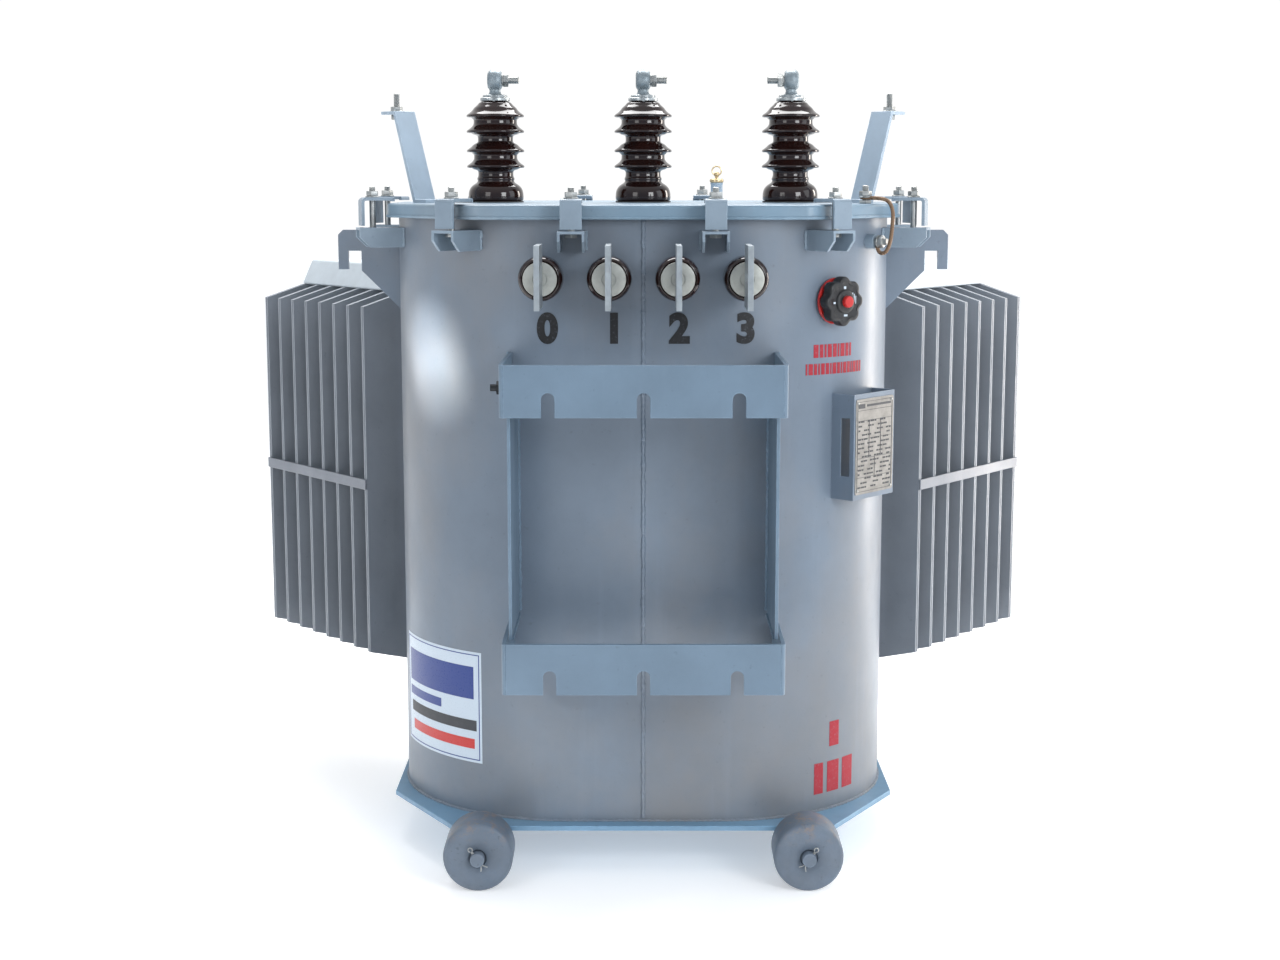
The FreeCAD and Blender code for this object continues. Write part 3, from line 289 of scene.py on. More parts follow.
def between(tree, value, fromMin, fromMax, toMin=0.0, toMax=1.0):
    made = nodeAt(tree, "ShaderNodeMapRange", {"Value": value, "From Min": fromMin,
        "From Max": fromMax, "To Min": toMin, "To Max": toMax})
    return made.outputs[0]


def times(tree, first, second):
    return nodeAt(tree, "ShaderNodeMath", {0: first, 1: second}, operation="MULTIPLY").outputs[0]


def blended(tree, amount, first, second, mode="MIX"):
    made = nodeAt(tree, "ShaderNodeMix", {0: amount, 6: first, 7: second}, data_type="RGBA",
        blend_type=mode)
    return made.outputs[2]


def bumped(tree, height, strength, distance, below=None):
    inputs = {"Height": height, "Strength": strength, "Distance": distance}
    if below is not None:
        inputs["Normal"] = below
    return nodeAt(tree, "ShaderNodeBump", inputs).outputs[0]


def toned(tint, gain, lift=0.0):
    return (*[min(part * gain + lift, 1) for part in tint], 1)


def plug(shader, **sources):
    sockets = {"colour": "Base Color", "rough": "Roughness", "bump": "Normal"}
    for key, source in sources.items():
        shader.id_data.links.new(source, shader.inputs[sockets[key]])


def preset(shader, values):
    for key, value in values.items():
        shader.inputs[key].default_value = value


def blank(name):
    material = bpy.data.materials.new(name)
    material.use_nodes = True
    tree = material.node_tree
    coords = nodeAt(tree, "ShaderNodeTexCoord").outputs["Object"]
    return material, tree, tree.nodes["Principled BSDF"], coords


def edgeMask(tree, reach, strong=0.12):
    # high where the surface turns within reach: rubbed corners and bends
    rounded = nodeAt(tree, "ShaderNodeBevel", {"Radius": reach}, samples=4).outputs[0]
    flat = nodeAt(tree, "ShaderNodeNewGeometry").outputs["Normal"]
    same = nodeAt(tree, "ShaderNodeVectorMath", {0: rounded, 1: flat}, operation="DOT_PRODUCT")
    return between(tree, same.outputs["Value"], 1.0 - 0.02, 1.0 - strong)


enamelLook = {"shade": 0.86, "patch": 5.0, "streaks": 0.22, "grime": 0.30, "dust": 0.25, "wear": 0.6,
    "rough": 0.40, "dents": 0.10, "peel": 0.18, "gloss": 0.5, "coat": 0.15, "rust": 0.0, "smudge": 0.0}
rustTint = (0.30, 0.19, 0.12, 1)
dustTint = (0.30, 0.27, 0.23, 1)


def enamel(name, tint, **changes):
    # sprayed tank paint: patches, smudges, runs, grime, rust, floor dust, then rubbed edges
    look = {**enamelLook, **changes}
    material, tree, shader, coords = blank(name)
    patches = between(tree, noiseOf(tree, coords, look["patch"], 5, 0.6), 0.35, 0.68)
    colour = blended(tree, patches, (*tint, 1), toned(tint, look["shade"]))
    if look["smudge"] > 0:
        grey = sum(tint) / 3
        warm = (grey * 0.98, grey * 0.93, grey * 0.90, 1)
        cloud = noiseOf(tree, coords, 2.7, 6, 0.62, stretch=(1, 1, 0.7))
        colour = blended(tree, between(tree, cloud, 0.44, 0.66, 0, look["smudge"]), colour, warm)
    runs = noiseOf(tree, coords, 24, 4, 0.6, stretch=(1, 1, 0.07))
    colour = blended(tree, between(tree, runs, 0.56, 0.78, 0, look["streaks"]), colour,
        toned(tint, 1.25, 0.02))
    specks = noiseOf(tree, coords, 95, 4, 0.7)
    colour = blended(tree, between(tree, specks, 0.63, 0.74, 0, look["grime"]), colour,
        toned(tint, 0.45))
    height = nodeAt(tree, "ShaderNodeSeparateXYZ", {0: coords}).outputs[2]
    if look["rust"] > 0:
        blisters = times(tree, between(tree, noiseOf(tree, coords, 60, 6, 0.75), 0.50, 0.62),
            between(tree, height, 0.070, 0.105, 0, look["rust"]))
        colour = blended(tree, blisters, colour, rustTint)
    low = between(tree, height, 0.30, 0.0, 0, look["dust"])
    low = times(tree, low, between(tree, noiseOf(tree, coords, 13, 5, 0.7), 0.3, 0.7))
    colour = blended(tree, low, colour, dustTint)
    if look["wear"] > 0:
        rubbed = times(tree, edgeMask(tree, 0.0025), between(tree, noiseOf(tree, coords, 60, 4, 0.7),
            0.4, 0.62, 0, look["wear"]))
        colour = blended(tree, rubbed, colour, toned(tint, 1.7, 0.05))
    rough = between(tree, noiseOf(tree, coords, 7, 4, 0.6), 0.3, 0.7, look["rough"] - 0.07,
        look["rough"] + 0.09)
    peel = noiseOf(tree, coords, 420, 1, 0.4)
    dents = noiseOf(tree, coords, 6.5, 2, 0.4)
    bump = bumped(tree, dents, look["dents"], 0.01)
    bump = bumped(tree, peel, look["peel"], 0.0004, bump)
    plug(shader, colour=colour, rough=rough, bump=bump)
    preset(shader, {"Specular IOR Level": look["gloss"], "Coat Weight": look["coat"],
        "Coat Roughness": 0.22})
    return material


def metal(name, tint, rough, grain=(1, 1, 1), stain=(0.25, 0.22, 0.18), stained=0.35, metallic=0.9,
        fine=240):
    material, tree, shader, coords = blank(name)
    cloud = between(tree, noiseOf(tree, coords, 45, 4, 0.6), 0.35, 0.7)
    colour = blended(tree, cloud, (*tint, 1), toned(tint, 0.72))
    spots = between(tree, noiseOf(tree, coords, 130, 5, 0.7), 0.58, 0.72, 0, stained)
    colour = blended(tree, spots, colour, (*stain, 1))
    lines = noiseOf(tree, coords, fine, 3, 0.6, stretch=grain)
    plug(shader, colour=colour, rough=between(tree, lines, 0.3, 0.7, rough - 0.08, rough + 0.1),
        bump=bumped(tree, lines, 0.25, 0.0003))
    preset(shader, {"Metallic": metallic})
    return material


def glaze(name, tint):
    material, tree, shader, coords = blank(name)
    cloud = between(tree, noiseOf(tree, coords, 26, 4, 0.6), 0.3, 0.7)
    colour = blended(tree, cloud, (*tint, 1), (tint[0] * 2.1, tint[1] * 1.7, tint[2] * 1.5, 1))
    plug(shader, colour=colour, rough=between(tree, noiseOf(tree, coords, 70, 3), 0.3, 0.7, 0.05,
        0.13), bump=bumped(tree, noiseOf(tree, coords, 60, 2), 0.06, 0.001))
    preset(shader, {"Specular IOR Level": 0.5, "Coat Weight": 0.12, "Coat Roughness": 0.04})
    return material


def moulded(name, tint, rough=0.45, dusty=0.25):
    material, tree, shader, coords = blank(name)
    dust = between(tree, noiseOf(tree, coords, 85, 5, 0.7), 0.5, 0.75, 0, dusty)
    colour = blended(tree, dust, (*tint, 1), toned(tint, 0.6, 0.09))
    grain = noiseOf(tree, coords, 600, 2)
    plug(shader, colour=colour, rough=between(tree, grain, 0.3, 0.7, rough - 0.06, rough + 0.08),
        bump=bumped(tree, grain, 0.3, 0.0002))
    return material


def stencil(name, tint, thin):
    # sprayed paint with a thin, speckled cover
    material, tree, shader, coords = blank(name)
    cover = between(tree, noiseOf(tree, coords, 210, 5, 0.75), 0.56, 0.70, 0, thin)
    colour = blended(tree, cover, (*tint, 1), (0.20, 0.24, 0.29, 1))
    plug(shader, colour=colour, rough=between(tree, noiseOf(tree, coords, 90, 3), 0.3, 0.7, 0.45,
        0.62), bump=bumped(tree, noiseOf(tree, coords, 500, 2), 0.3, 0.0002))
    return material


def braid(name, tint):
    # crossed strands from two slanted wave bands
    material, tree, shader, coords = blank(name)
    flipped = nodeAt(tree, "ShaderNodeMapping", {"Vector": coords, "Scale": (-1, 1, 1)}).outputs[0]
    first, second = [nodeAt(tree, "ShaderNodeTexWave",
        {"Vector": vector, "Scale": 260, "Distortion": 1.5}, bands_direction="DIAGONAL").outputs[1]
        for vector in (coords, flipped)]
    weave = times(tree, first, second)
    plug(shader, colour=blended(tree, between(tree, weave, 0.1, 0.6), toned(tint, 0.35), (*tint, 1)),
        bump=bumped(tree, weave, 0.7, 0.0008))
    preset(shader, {"Metallic": 0.6, "Roughness": 0.5})
    return material


# the tank and lid enamels are one paint in two tones: the tank's darker tint is painted shade and the
# lid's lighter, bluer tint is painted light, for a lid rim that stands less in shadow
paint = enamel("Tank enamel, painted shade tone", (0.170, 0.215, 0.272), shade=0.80, smudge=0.55)
lidLighterPaint = enamel("Lid enamel, painted light tone", (0.185, 0.282, 0.368), patch=9.0, smudge=0.3)
bracketPaint = enamel("Bracket enamel", (0.130, 0.195, 0.265), patch=11.0, streaks=0.12)
basePaint = enamel("Base enamel", (0.178, 0.335, 0.490), patch=12.0, dust=0.12)
clampPaint = enamel("Clamp enamel", (0.230, 0.295, 0.360), patch=18.0, grime=0.4)
armPaint = enamel("Arrester bracket enamel", (0.39, 0.48, 0.57), patch=14.0)
finPaint = enamel("Radiator enamel", (0.255, 0.280, 0.315), patch=7.0, shade=0.84, streaks=0.16,
    rough=0.46, wear=0.0)
# the duct enamel is the radiator paint made near white: painted sunlight on the ducts' upward-facing
# tops
ductSunlitPaint = enamel("Duct enamel, painted sunlight", (0.60, 0.66, 0.70), patch=16.0, grime=0.15)
seamPaint = enamel("Radiator seam enamel", (0.155, 0.174, 0.200), patch=20.0, wear=0.0, rough=0.5)
strapPaint = enamel("Radiator strap enamel", (0.205, 0.222, 0.255), patch=18.0)
wheelPaint = enamel("Roller enamel", (0.130, 0.172, 0.228), patch=22.0, grime=0.75, dust=0.16,
    rough=0.55, peel=0.5, shade=0.78, rust=0.55)
zinc = metal("Dull zinc", (0.46, 0.47, 0.46), 0.42)
darkSteel = metal("Blackened steel", (0.045, 0.047, 0.05), 0.45, stained=0.2)
tinned = metal("Tinned metal", (0.42, 0.45, 0.46), 0.36, grain=(1, 1, 0.1), stain=(0.42, 0.40, 0.34),
    stained=0.25)
discMetal = metal("Tinned disc", (0.43, 0.44, 0.41), 0.46, stain=(0.45, 0.42, 0.33), stained=0.2,
    metallic=0.7)
castCap = metal("Cast cap", (0.27, 0.32, 0.35), 0.42, metallic=0.45, fine=320, stained=0.2)
bladeMetal = metal("Dull tinned bar", (0.36, 0.40, 0.43), 0.38, grain=(1, 1, 0.1),
    stain=(0.30, 0.28, 0.24), stained=0.3, metallic=0.7)
brass = metal("Valve brass", (0.72, 0.56, 0.33), 0.32, stain=(0.40, 0.28, 0.14), stained=0.3)
shaftSteel = metal("Turned steel", (0.5, 0.5, 0.5), 0.3, grain=(0.2, 1, 1))
plateMetal = metal("Etched plate", (0.33, 0.32, 0.30), 0.46, grain=(0.1, 0.1, 1), stained=0.15)
porcelain = glaze("Brown glaze", (0.0095, 0.0036, 0.0030))
rubber = moulded("Gasket rubber", (0.030, 0.028, 0.027), 0.7, 0.3)
blackMoulding = moulded("Black moulding", (0.014, 0.014, 0.015), 0.42, 0.25)
redMoulding = moulded("Red moulding", (0.50, 0.020, 0.018), 0.35, 0.06)
blackStencil = stencil("Black stencil", (0.008, 0.008, 0.010), 0.30)
redStencil = stencil("Red stencil", (0.36, 0.006, 0.020), 0.45)
whiteLabel = moulded("White label", (0.56, 0.64, 0.72), 0.3, 0.05)
blueLabel = moulded("Blue label ink", (0.016, 0.045, 0.23), 0.32, 0.05)
redLabel = moulded("Red label ink", (0.56, 0.030, 0.026), 0.32, 0.05)
darkInk = moulded("Dark ink", (0.045, 0.048, 0.055), 0.5, 0.2)
jumperBraid = braid("Tarnished braid", (0.42, 0.27, 0.17))
coreSteel = metal("Core laminations", (0.25, 0.25, 0.27), 0.5, grain=(1, 0.02, 1), fine=500)
yokePrimer = enamel("Yoke primer", (0.18, 0.19, 0.19), wear=0.0)
oiledPaper = moulded("Oiled paper", (0.34, 0.20, 0.08), 0.6, 0.4)
coilCopper = metal("Coil copper", (0.60, 0.30, 0.17), 0.4, grain=(1, 1, 6), stained=0.2)
print("finishes ready")


# camera, lights and floor
view = {"place": (-0.005, -3.225, 1.069), "down": 8.73, "lens": 55.3}
camera = bpy.data.objects.new("Camera", bpy.data.cameras.new("Camera"))
camera.location = view["place"]
camera.rotation_euler = (math.radians(90 - view["down"]), 0, 0)
camera.data.lens = view["lens"]
camera.data.sensor_width = 36
camera.data.clip_end = 60
bpy.context.scene.collection.objects.link(camera)
bpy.context.scene.camera = camera
bpy.context.scene.view_settings.view_transform = "Standard"


def lampAt(name, kind, place, target, power, tint):
    lamp = bpy.data.objects.new(name, bpy.data.lights.new(name, kind))
    lamp.data.energy = power
    lamp.data.color = tint
    lamp.location = place
    lamp.rotation_euler = (Vector(target) - Vector(place)).to_track_quat("-Z", "Y").to_euler()
    bpy.context.scene.collection.objects.link(lamp)
    return lamp.data


def areaLight(name, place, target, size, power, tint=(1, 1, 1)):
    lamp = lampAt(name, "AREA", place, target, power, tint)
    lamp.shape = "RECTANGLE"
    lamp.size, lamp.size_y = size


areaLight("Right front", (1.9, -2.8, 1.7), (0.3, 0.1, 0.6), (1.2, 1.2), 42, (0.96, 0.98, 1))
areaLight("Left front", (-1.9, -2.8, 1.7), (-0.3, 0.1, 0.6), (1.2, 1.2), 13, (1, 0.99, 0.97))
areaLight("Right back strip", (2.4, 1.35, 0.85), (0.36, -0.12, 0.6), (0.45, 2.2), 36, (1, 0.92, 0.84))
areaLight("Right side", (2.6, -0.7, 1.6), (0.3, -0.1, 0.6), (1.2, 1.6), 9, (0.92, 0.96, 1))
areaLight("Top back", (0, 1.3, 3.3), (0, 0.1, 1.0), (2.6, 1.6), 120)


def patchLight(name, place, target, degrees, power):
    # a narrow soft-edged beam
    lamp = lampAt(name, "SPOT", place, target, power, (1, 0.97, 0.93))
    lamp.spot_size = math.radians(degrees)
    lamp.spot_blend = 1.0
    lamp.shadow_soft_size = 0.06


patchLight("High patch", (-2.1, -0.75, 1.15), (-0.339, -0.168, 0.812), 2.5, 1150)
patchLight("High patch foot", (-2.1, -0.75, 1.10), (-0.329, -0.180, 0.762), 2.2, 1050)
patchLight("Low patch", (-1.1, -2.6, 1.1), (-0.145, -0.275, 0.215), 4.6, 70)

# the sky is white behind the transformer and dimmer and bluer in front of it
skyTints = {"front": (0.36, 0.43, 0.52, 1), "back": (1.03, 1.03, 1.03, 1)}
floorShape = {"half": 28, "dark": (0.86, 0.86, 0.86, 1), "light": (0.90, 0.90, 0.90, 1), "glow": 0.34}
world = bpy.data.worlds.new("Studio")
world.use_nodes = True
sky = world.node_tree
direction = nodeAt(sky, "ShaderNodeTexCoord").outputs["Generated"]
depth = nodeAt(sky, "ShaderNodeSeparateXYZ", {0: direction})
behind = between(sky, depth.outputs[1], -0.35, 0.75)
above = between(sky, depth.outputs[2], 0.15, 0.9, 0, 0.6)
bright = nodeAt(sky, "ShaderNodeMath", {0: behind, 1: above}, operation="MAXIMUM").outputs[0]
skyColour = blended(sky, bright, skyTints["front"], skyTints["back"])
sky.links.new(skyColour, sky.nodes["Background"].inputs["Color"])
sky.nodes["Background"].inputs["Strength"].default_value = 1.0
bpy.context.scene.world = world

floorMaterial, floorTree, floorShader, floorCoords = blank("Pale floor")
plug(floorShader, colour=blended(floorTree, noiseOf(floorTree, floorCoords, 3), floorShape["dark"],
    floorShape["light"]))
preset(floorShader, {"Roughness": 0.8, "Emission Color": (1, 1, 1, 1),
    "Emission Strength": floorShape["glow"]})
floorBm = bmesh.new()
bmesh.ops.create_grid(floorBm, x_segments=1, y_segments=1, size=floorShape["half"])
floorMesh = meshOf(floorBm, "Floor")
floorMesh.materials.append(floorMaterial)
studioFloor = bpy.data.objects.new("Floor", floorMesh)
bpy.context.scene.collection.objects.link(studioFloor)
print("studio ready")


# places on the tank
def onWall(degrees, out=0.0):
    # a point out from the tank's right front arc
    reach = tank["radius"] + out
    angle = math.radians(degrees)
    return tank["straight"] + reach * math.sin(angle), -reach * math.cos(angle)


def wallPoint(along, out=0.0):
    # along runs round the wall from the middle of the front, positive to the right
    side = math.copysign(1, along)
    extra = abs(along) - tank["straight"]
    if extra <= 0:
        return Vector((along, -tank["radius"] - out, 0))
    angle = extra / tank["radius"]
    reach = tank["radius"] + out
    return Vector((side * (tank["straight"] + reach * math.sin(angle)), -reach * math.cos(angle), 0))


def bentToWall(bm):
    # a flat shape in XZ, with -Y outwards, is laid on the round wall
    for vert in bm.verts:
        spot = wallPoint(vert.co.x, -vert.co.y)
        vert.co = (spot.x, spot.y, vert.co.z)
    return facedOut(bm)


def weldBead(path, radius, seed, ripple=0.22, closed=False, step=0.0032):
    # a rippled bead: the ring swells and sways a little along its path
    points = []
    for start, end in zip(path, path[1:] + ([path[0]] if closed else [])):
        count = max(1, round((Vector(end) - Vector(start)).length / step))
        points += [Vector(start).lerp(Vector(end), part / count) for part in range(count)]
    if not closed:
        points.append(Vector(path[-1]))
    widths = []
    for number in range(len(points)):
        sway = noise.noise_vector(Vector((number * 0.37, seed, 0.5)))
        points[number] += sway * radius * 0.22
        swell = 1 + ripple * math.sin(number * 2.1)
        swell += 0.35 * noise.noise(Vector((number * 0.21, seed, 3)))
        widths.append(radius * swell)
    return swept(points, widths, sides=7, closed=closed)


# tank
tankShape = {"wall": 0.003, "flangeIn": 0.022, "flangeOut": 0.004, "flange": 0.006, "seam": 0.0032,
    "footBead": 0.0026}
r, foot, top = tank["radius"], tank["foot"], tank["top"]
flangeLow = top - tankShape["flange"]
outer, inner, skin = r + tankShape["flangeOut"], r - tankShape["flangeIn"], r - tankShape["wall"]
tankRows = [(r, foot), (r, foot + 0.02), (r, 0.35), (r, 0.65), (r, flangeLow - 0.02), (r, flangeLow),
    (outer - 0.001, flangeLow), (outer, flangeLow + 0.001), (outer, top - 0.001), (outer - 0.001, top),
    (inner, top), (inner, flangeLow), (skin, flangeLow), (skin, foot)]
pieceFrom(aroundTank(tankRows), "tankWall", paint, replaces=["tank_shell"])

seam, rearSeam = [weldBead([(0, y, foot + 0.006), (0, y, flangeLow - 0.004)], tankShape["seam"], seed)
    for y, seed in ((-r, 1.0), (r, 2.0))]
footPath = [wallPoint(part / 60 * (2 * tank["straight"] + math.pi * r) - tank["straight"]
    - math.pi * r / 2, 0.0005) for part in range(61)]
frontPath = [Vector((spot.x, spot.y, foot + 0.001)) for spot in footPath]
backPath = [Vector((spot.x, -spot.y, spot.z)) for spot in reversed(frontPath)][1:-1]
footBead = weldBead(frontPath + backPath, tankShape["footBead"], 3.0, closed=True)
pieceFrom(gathered(seam, rearSeam, footBead), "tankWelds", paint)
print("tank done")


# base plate and lid
baseShape = {"halfWide": 0.405, "halfDeep": 0.299, "front": 0.294, "side": 0.118, "low": 0.070,
    "high": 0.078, "edge": 0.0012}
lidShape = {"halfWide": 0.405, "halfDeep": 0.300, "front": 0.255, "side": 0.110, "low": 1.008,
    "rim": 0.004, "plate": 0.005, "corner": 0.014, "bend": 0.0048, "lip": 0.0026}


def octagonCorners(shape):
    right = [(shape["front"], -shape["halfDeep"]), (shape["halfWide"], -shape["side"]),
        (shape["halfWide"], shape["side"]), (shape["front"], shape["halfDeep"])]
    return right + [(-x, y) for x, y in reversed(right)]


basePlate = slab(octagonCorners(baseShape), baseShape["low"], baseShape["high"])
softEdges(pieceFrom(basePlate, "basePlate", basePaint, replaces=["base_plate"]),
    baseShape["edge"])

def octagonInside(shape, share):
    # the outline drawn in by a share of the lip's radius
    return octagonCorners({**shape, "halfWide": shape["halfWide"] - shape["lip"] * share,
        "halfDeep": shape["halfDeep"] - shape["lip"] * share})


lidBm = slab(octagonInside(lidShape, 0.6), lidShape["low"], lidTop)
uprights = [edge for edge in lidBm.edges if abs(edge.verts[0].co.z - edge.verts[1].co.z) > 0.01]
bevelled(lidBm, uprights, lidShape["corner"], 5)
under = [face for face in lidBm.faces if face.normal.z < -0.9]
bmesh.ops.inset_region(lidBm, faces=under, thickness=lidShape["rim"], use_even_offset=True)
raisedFaces(lidBm, under, (0, 0, lidTop - lidShape["plate"] - lidShape["low"]))
bmesh.ops.delete(lidBm, geom=under, context="FACES")
topEdges = [edge for edge in sharpEdges(lidBm, 50) if all(abs(vert.co.z - lidTop) < flatSlack
    for vert in edge.verts)]
bevelled(lidBm, topEdges, lidShape["bend"], 4)
facedOut(lidBm)
# the lid takes the lighter enamel: painted light on the same paint as the tank
softEdges(pieceFrom(lidBm, "lidPan", lidLighterPaint, replaces=["lid"]), 0.0006)
lipBm = bmesh.new()
lipBm.faces.new([lipBm.verts.new((x, y, lidShape["low"] + lidShape["lip"]))
    for x, y in octagonInside(lidShape, 1.02)])
roundCorners(lipBm, lipBm.verts[:], lidShape["corner"] / 2, 5)
lipBm.faces.ensure_lookup_table()
lipPath = [vert.co.copy() for vert in lipBm.faces[0].verts]
lipBm.free()
pieceFrom(swept(lipPath, lidShape["lip"], sides=10, closed=True), "lidLip", lidLighterPaint)
print("lid and base done")


# pole brackets and their ribs
bracketShape = {"halfWide": 0.204, "thick": 0.006, "face": -0.475, "high": 0.075, "slotWide": 0.019,
    "slotHigh": 0.0355, "slotPitch": 0.135, "bend": 0.009, "root": -0.2622,
    "lows": (("upper", 0.7345), ("lower", 0.333))}


def poleBracket(name, low):
    shape = bracketShape
    half, thick, face = shape["halfWide"], shape["thick"], shape["face"]
    slotHalf = shape["slotWide"] / 2
    outlinePoints = [(-half, low), (-half, low + shape["high"]), (half, low + shape["high"]),
        (half, low)]
    for middle in (shape["slotPitch"], 0, -shape["slotPitch"]):
        slotTop = low + shape["slotHigh"]
        outlinePoints += [(middle + slotHalf, low), (middle + slotHalf, slotTop),
            (middle - slotHalf, slotTop), (middle - slotHalf, low)]
    bm = bmesh.new()
    bm.faces.new([bm.verts.new((x, face, z)) for x, z in outlinePoints])
    slotTops = [vert for vert in bm.verts if abs(vert.co.z - low - shape["slotHigh"]) < flatSlack]
    roundCorners(bm, slotTops, slotHalf * 0.98, 6)
    raisedFaces(bm, bm.faces[:], (0, thick, 0))
    for side in (-1, 1):
        cutAcross(bm, everything(bm), (side * (half - thick), 0, 0))
    facedOut(bm)
    ends = [item for item in bm.faces if item.normal.y > 0.9
        and abs(item.calc_center_median().x) > half - thick]
    arms = bmesh.ops.extrude_face_region(bm, geom=ends)["geom"]
    bmesh.ops.delete(bm, geom=ends, context="FACES")
    for vert in newVerts(arms):
        vert.co.y = shape["root"] - 0.0015
    facedOut(bm)
    corners = [edge for edge in bm.edges if all(abs(abs(vert.co.x) - half) < sameSpot
        and abs(vert.co.y - face) < sameSpot for vert in edge.verts)]
    bevelled(bm, corners, shape["bend"], 5)
    piece = pieceFrom(bm, "poleBracket" + name.capitalize(), bracketPaint,
        replaces=["pole_bracket_" + name])
    softEdges(piece, 0.0008)


for name, low in bracketShape["lows"]:
    poleBracket(name, low)
refined("bracket_ribs", "bracketRibs", bracketPaint, 0.0007)

bracketSeams = {"armSide": 0.2035, "armRoot": -0.2625, "ribSides": (0.1895, 0.1955),
    "ribRoot": -0.2660, "ribLow": 0.412, "ribHigh": 0.731, "ledges": (0.4085, 0.734),
    "ledgeNear": -0.438, "ledgeFar": -0.280}
bracketBeads = []
for side in (-1, 1):
    ends = bracketSeams
    for number, (name, low) in enumerate(bracketShape["lows"]):
        x, y = side * ends["armSide"], ends["armRoot"]
        bracketBeads.append(weldBead([(x, y, low), (x, y, low + bracketShape["high"])], 0.003,
            5.0 + number + side))
    for x in ends["ribSides"]:
        route = [(side * x, ends["ribRoot"], ends[end]) for end in ("ribLow", "ribHigh")]
        bracketBeads.append(weldBead(route, 0.0028, 9.0 + side + x))
    for z in ends["ledges"]:
        route = [(side * ends["ribSides"][0], ends[end], z) for end in ("ledgeNear", "ledgeFar")]
        bracketBeads.append(weldBead(route, 0.0020, 12.0 + side + z))
pieceFrom(gathered(*bracketBeads), "bracketWelds", bracketPaint)
print("brackets done")


# bolts, nuts and threads
boltSize = {"rod": 0.005, "flat": 0.0085, "hole": 0.0052}


def threadedRod(radius, length, pitch=0.00175):
    rows = [(0, 0), (radius * 0.86, 0)]
    count = max(2, round(length / pitch))
    for number in range(count):
        low = length * number / count
        rows += [(radius * 0.88, low + pitch * 0.15), (radius, low + pitch * 0.5)]
    rows += [(radius * 0.86, length - 0.0004), (radius * 0.72, length), (0, length)]
    return turned(rows, 18)


def hexNut(flat, height):
    # a six-sided nut whose corners are chamfered at both faces
    corner = flat / math.cos(math.pi / 6)
    bm = bmesh.new()
    bmesh.ops.create_cone(bm, cap_ends=True, segments=6, radius1=corner, radius2=corner, depth=height,
        matrix=Matrix.Translation((0, 0, height / 2)))
    bevelled(bm, [edge for edge in bm.edges if abs(edge.verts[0].co.z - edge.verts[1].co.z) < 1e-6],
        height * 0.12, 2)
    return bm


def washer(outer, inner, height, z=0.0):
    edge = height * 0.25
    return turned([(inner, z), (outer - edge, z), (outer, z + edge), (outer, z + height - edge),
        (outer - edge, z + height), (inner, z + height), (inner, z)], 32)


# lid clamps
clampShape = {"bolt": 0.046, "wide": 0.032, "thick": 0.005, "footOut": 0.0105, "reach": 0.0635,
    "armMid": 1.0365, "legFoot": 0.992, "bend": 0.0075}
clampPlaces = []
for x, y, turn in [(0.106, -r, 0.0)] + [(*onWall(turn), turn) for turn in (31, 73)]:
    for side in (1, -1):
        clampPlaces.append((side * x, y, side * turn))
        clampPlaces.append((side * x, -y, 180 - side * turn))
clampMatrices = [Matrix.Translation((x, y, 0)) @ Matrix.Rotation(math.radians(turn), 4, "Z")
    for x, y, turn in clampPlaces]


def clampStrap():
    shape = clampShape
    spine = [(-shape["footOut"], lidTop + 0.0003), (-shape["footOut"], shape["armMid"]),
        (-shape["reach"], shape["armMid"]), (-shape["reach"], shape["legFoot"] + 0.0003)]
    bm = bmesh.new()
    line = [bm.verts.new((-shape["wide"] / 2, y, z)) for y, z in spine]
    edges = [bm.edges.new(pair) for pair in zip(line, line[1:])]
    bmesh.ops.translate(bm, verts=extruded(bm, edges)[0], vec=(shape["wide"], 0, 0))
    near = [edge for edge in bm.edges if len(edge.link_faces) == 2 and edge.verts[0].co.y > -0.03]
    bevelled(bm, near, 0.0028, 3)
    far = [edge for edge in bm.edges if len(edge.link_faces) == 2
        and all(abs(vert.co.y + shape["reach"]) < flatSlack for vert in edge.verts)
        and abs(edge.verts[0].co.x - edge.verts[1].co.x) > 0.01]
    bevelled(bm, far, shape["bend"], 5)
    facedOut(bm)
    bmesh.ops.solidify(bm, geom=bm.faces[:], thickness=shape["thick"])
    half = shape["thick"] / 2
    forward = -shape["reach"] - half - min(vert.co.y for vert in bm.verts)
    upward = shape["armMid"] + half - max(vert.co.z for vert in bm.verts)
    bmesh.ops.translate(bm, verts=bm.verts, vec=(0, forward, upward))
    return facedOut(bm)


softEdges(pieceFrom(stamped(clampStrap(), clampMatrices), "clampStraps", clampPaint,
    replaces=["lid_clamp_straps"]), 0.0007)
refined("lid_clamp_lugs", "clampLugs", clampPaint, 0.0010)

boltBm = gathered(moved(hexNut(boltSize["flat"], 0.006), 0, 0, 0.982),
    moved(turned([(0, 0), (0.0049, 0), (0.0049, 0.049), (0, 0.049)], 18), 0, 0, 0.988),
    moved(threadedRod(boltSize["rod"], 0.019), 0, 0, 1.037))
moved(boltBm, 0, -clampShape["bolt"], 0)
pieceFrom(stamped(boltBm, clampMatrices), "clampBolts", zinc,
    replaces=["lid_clamp_bolts"])
nutBm = gathered(washer(0.011, boltSize["hole"], 0.002),
    moved(hexNut(boltSize["flat"], 0.008), 0, 0, 0.002, 12))
moved(nutBm, 0, -clampShape["bolt"], 1.039)
pieceFrom(stamped(nutBm, clampMatrices), "clampNuts", zinc, replaces=["lid_clamp_nuts"])

lugBeads = []
for number, (x, y, turn) in enumerate(clampPlaces):
    out = Matrix.Rotation(math.radians(turn), 3, "Z")
    centre = Vector((x, y, 0))
    for side in (-1, 1):
        low = centre + out @ Vector((side * 0.0205, -0.0005, 0))
        lugBeads.append(weldBead([low + Vector((0, 0, 0.963)), low + Vector((0, 0, 0.991))], 0.0023,
            20.0 + number + side))
pieceFrom(gathered(*lugBeads), "lugWelds", clampPaint)
print("clamps done")


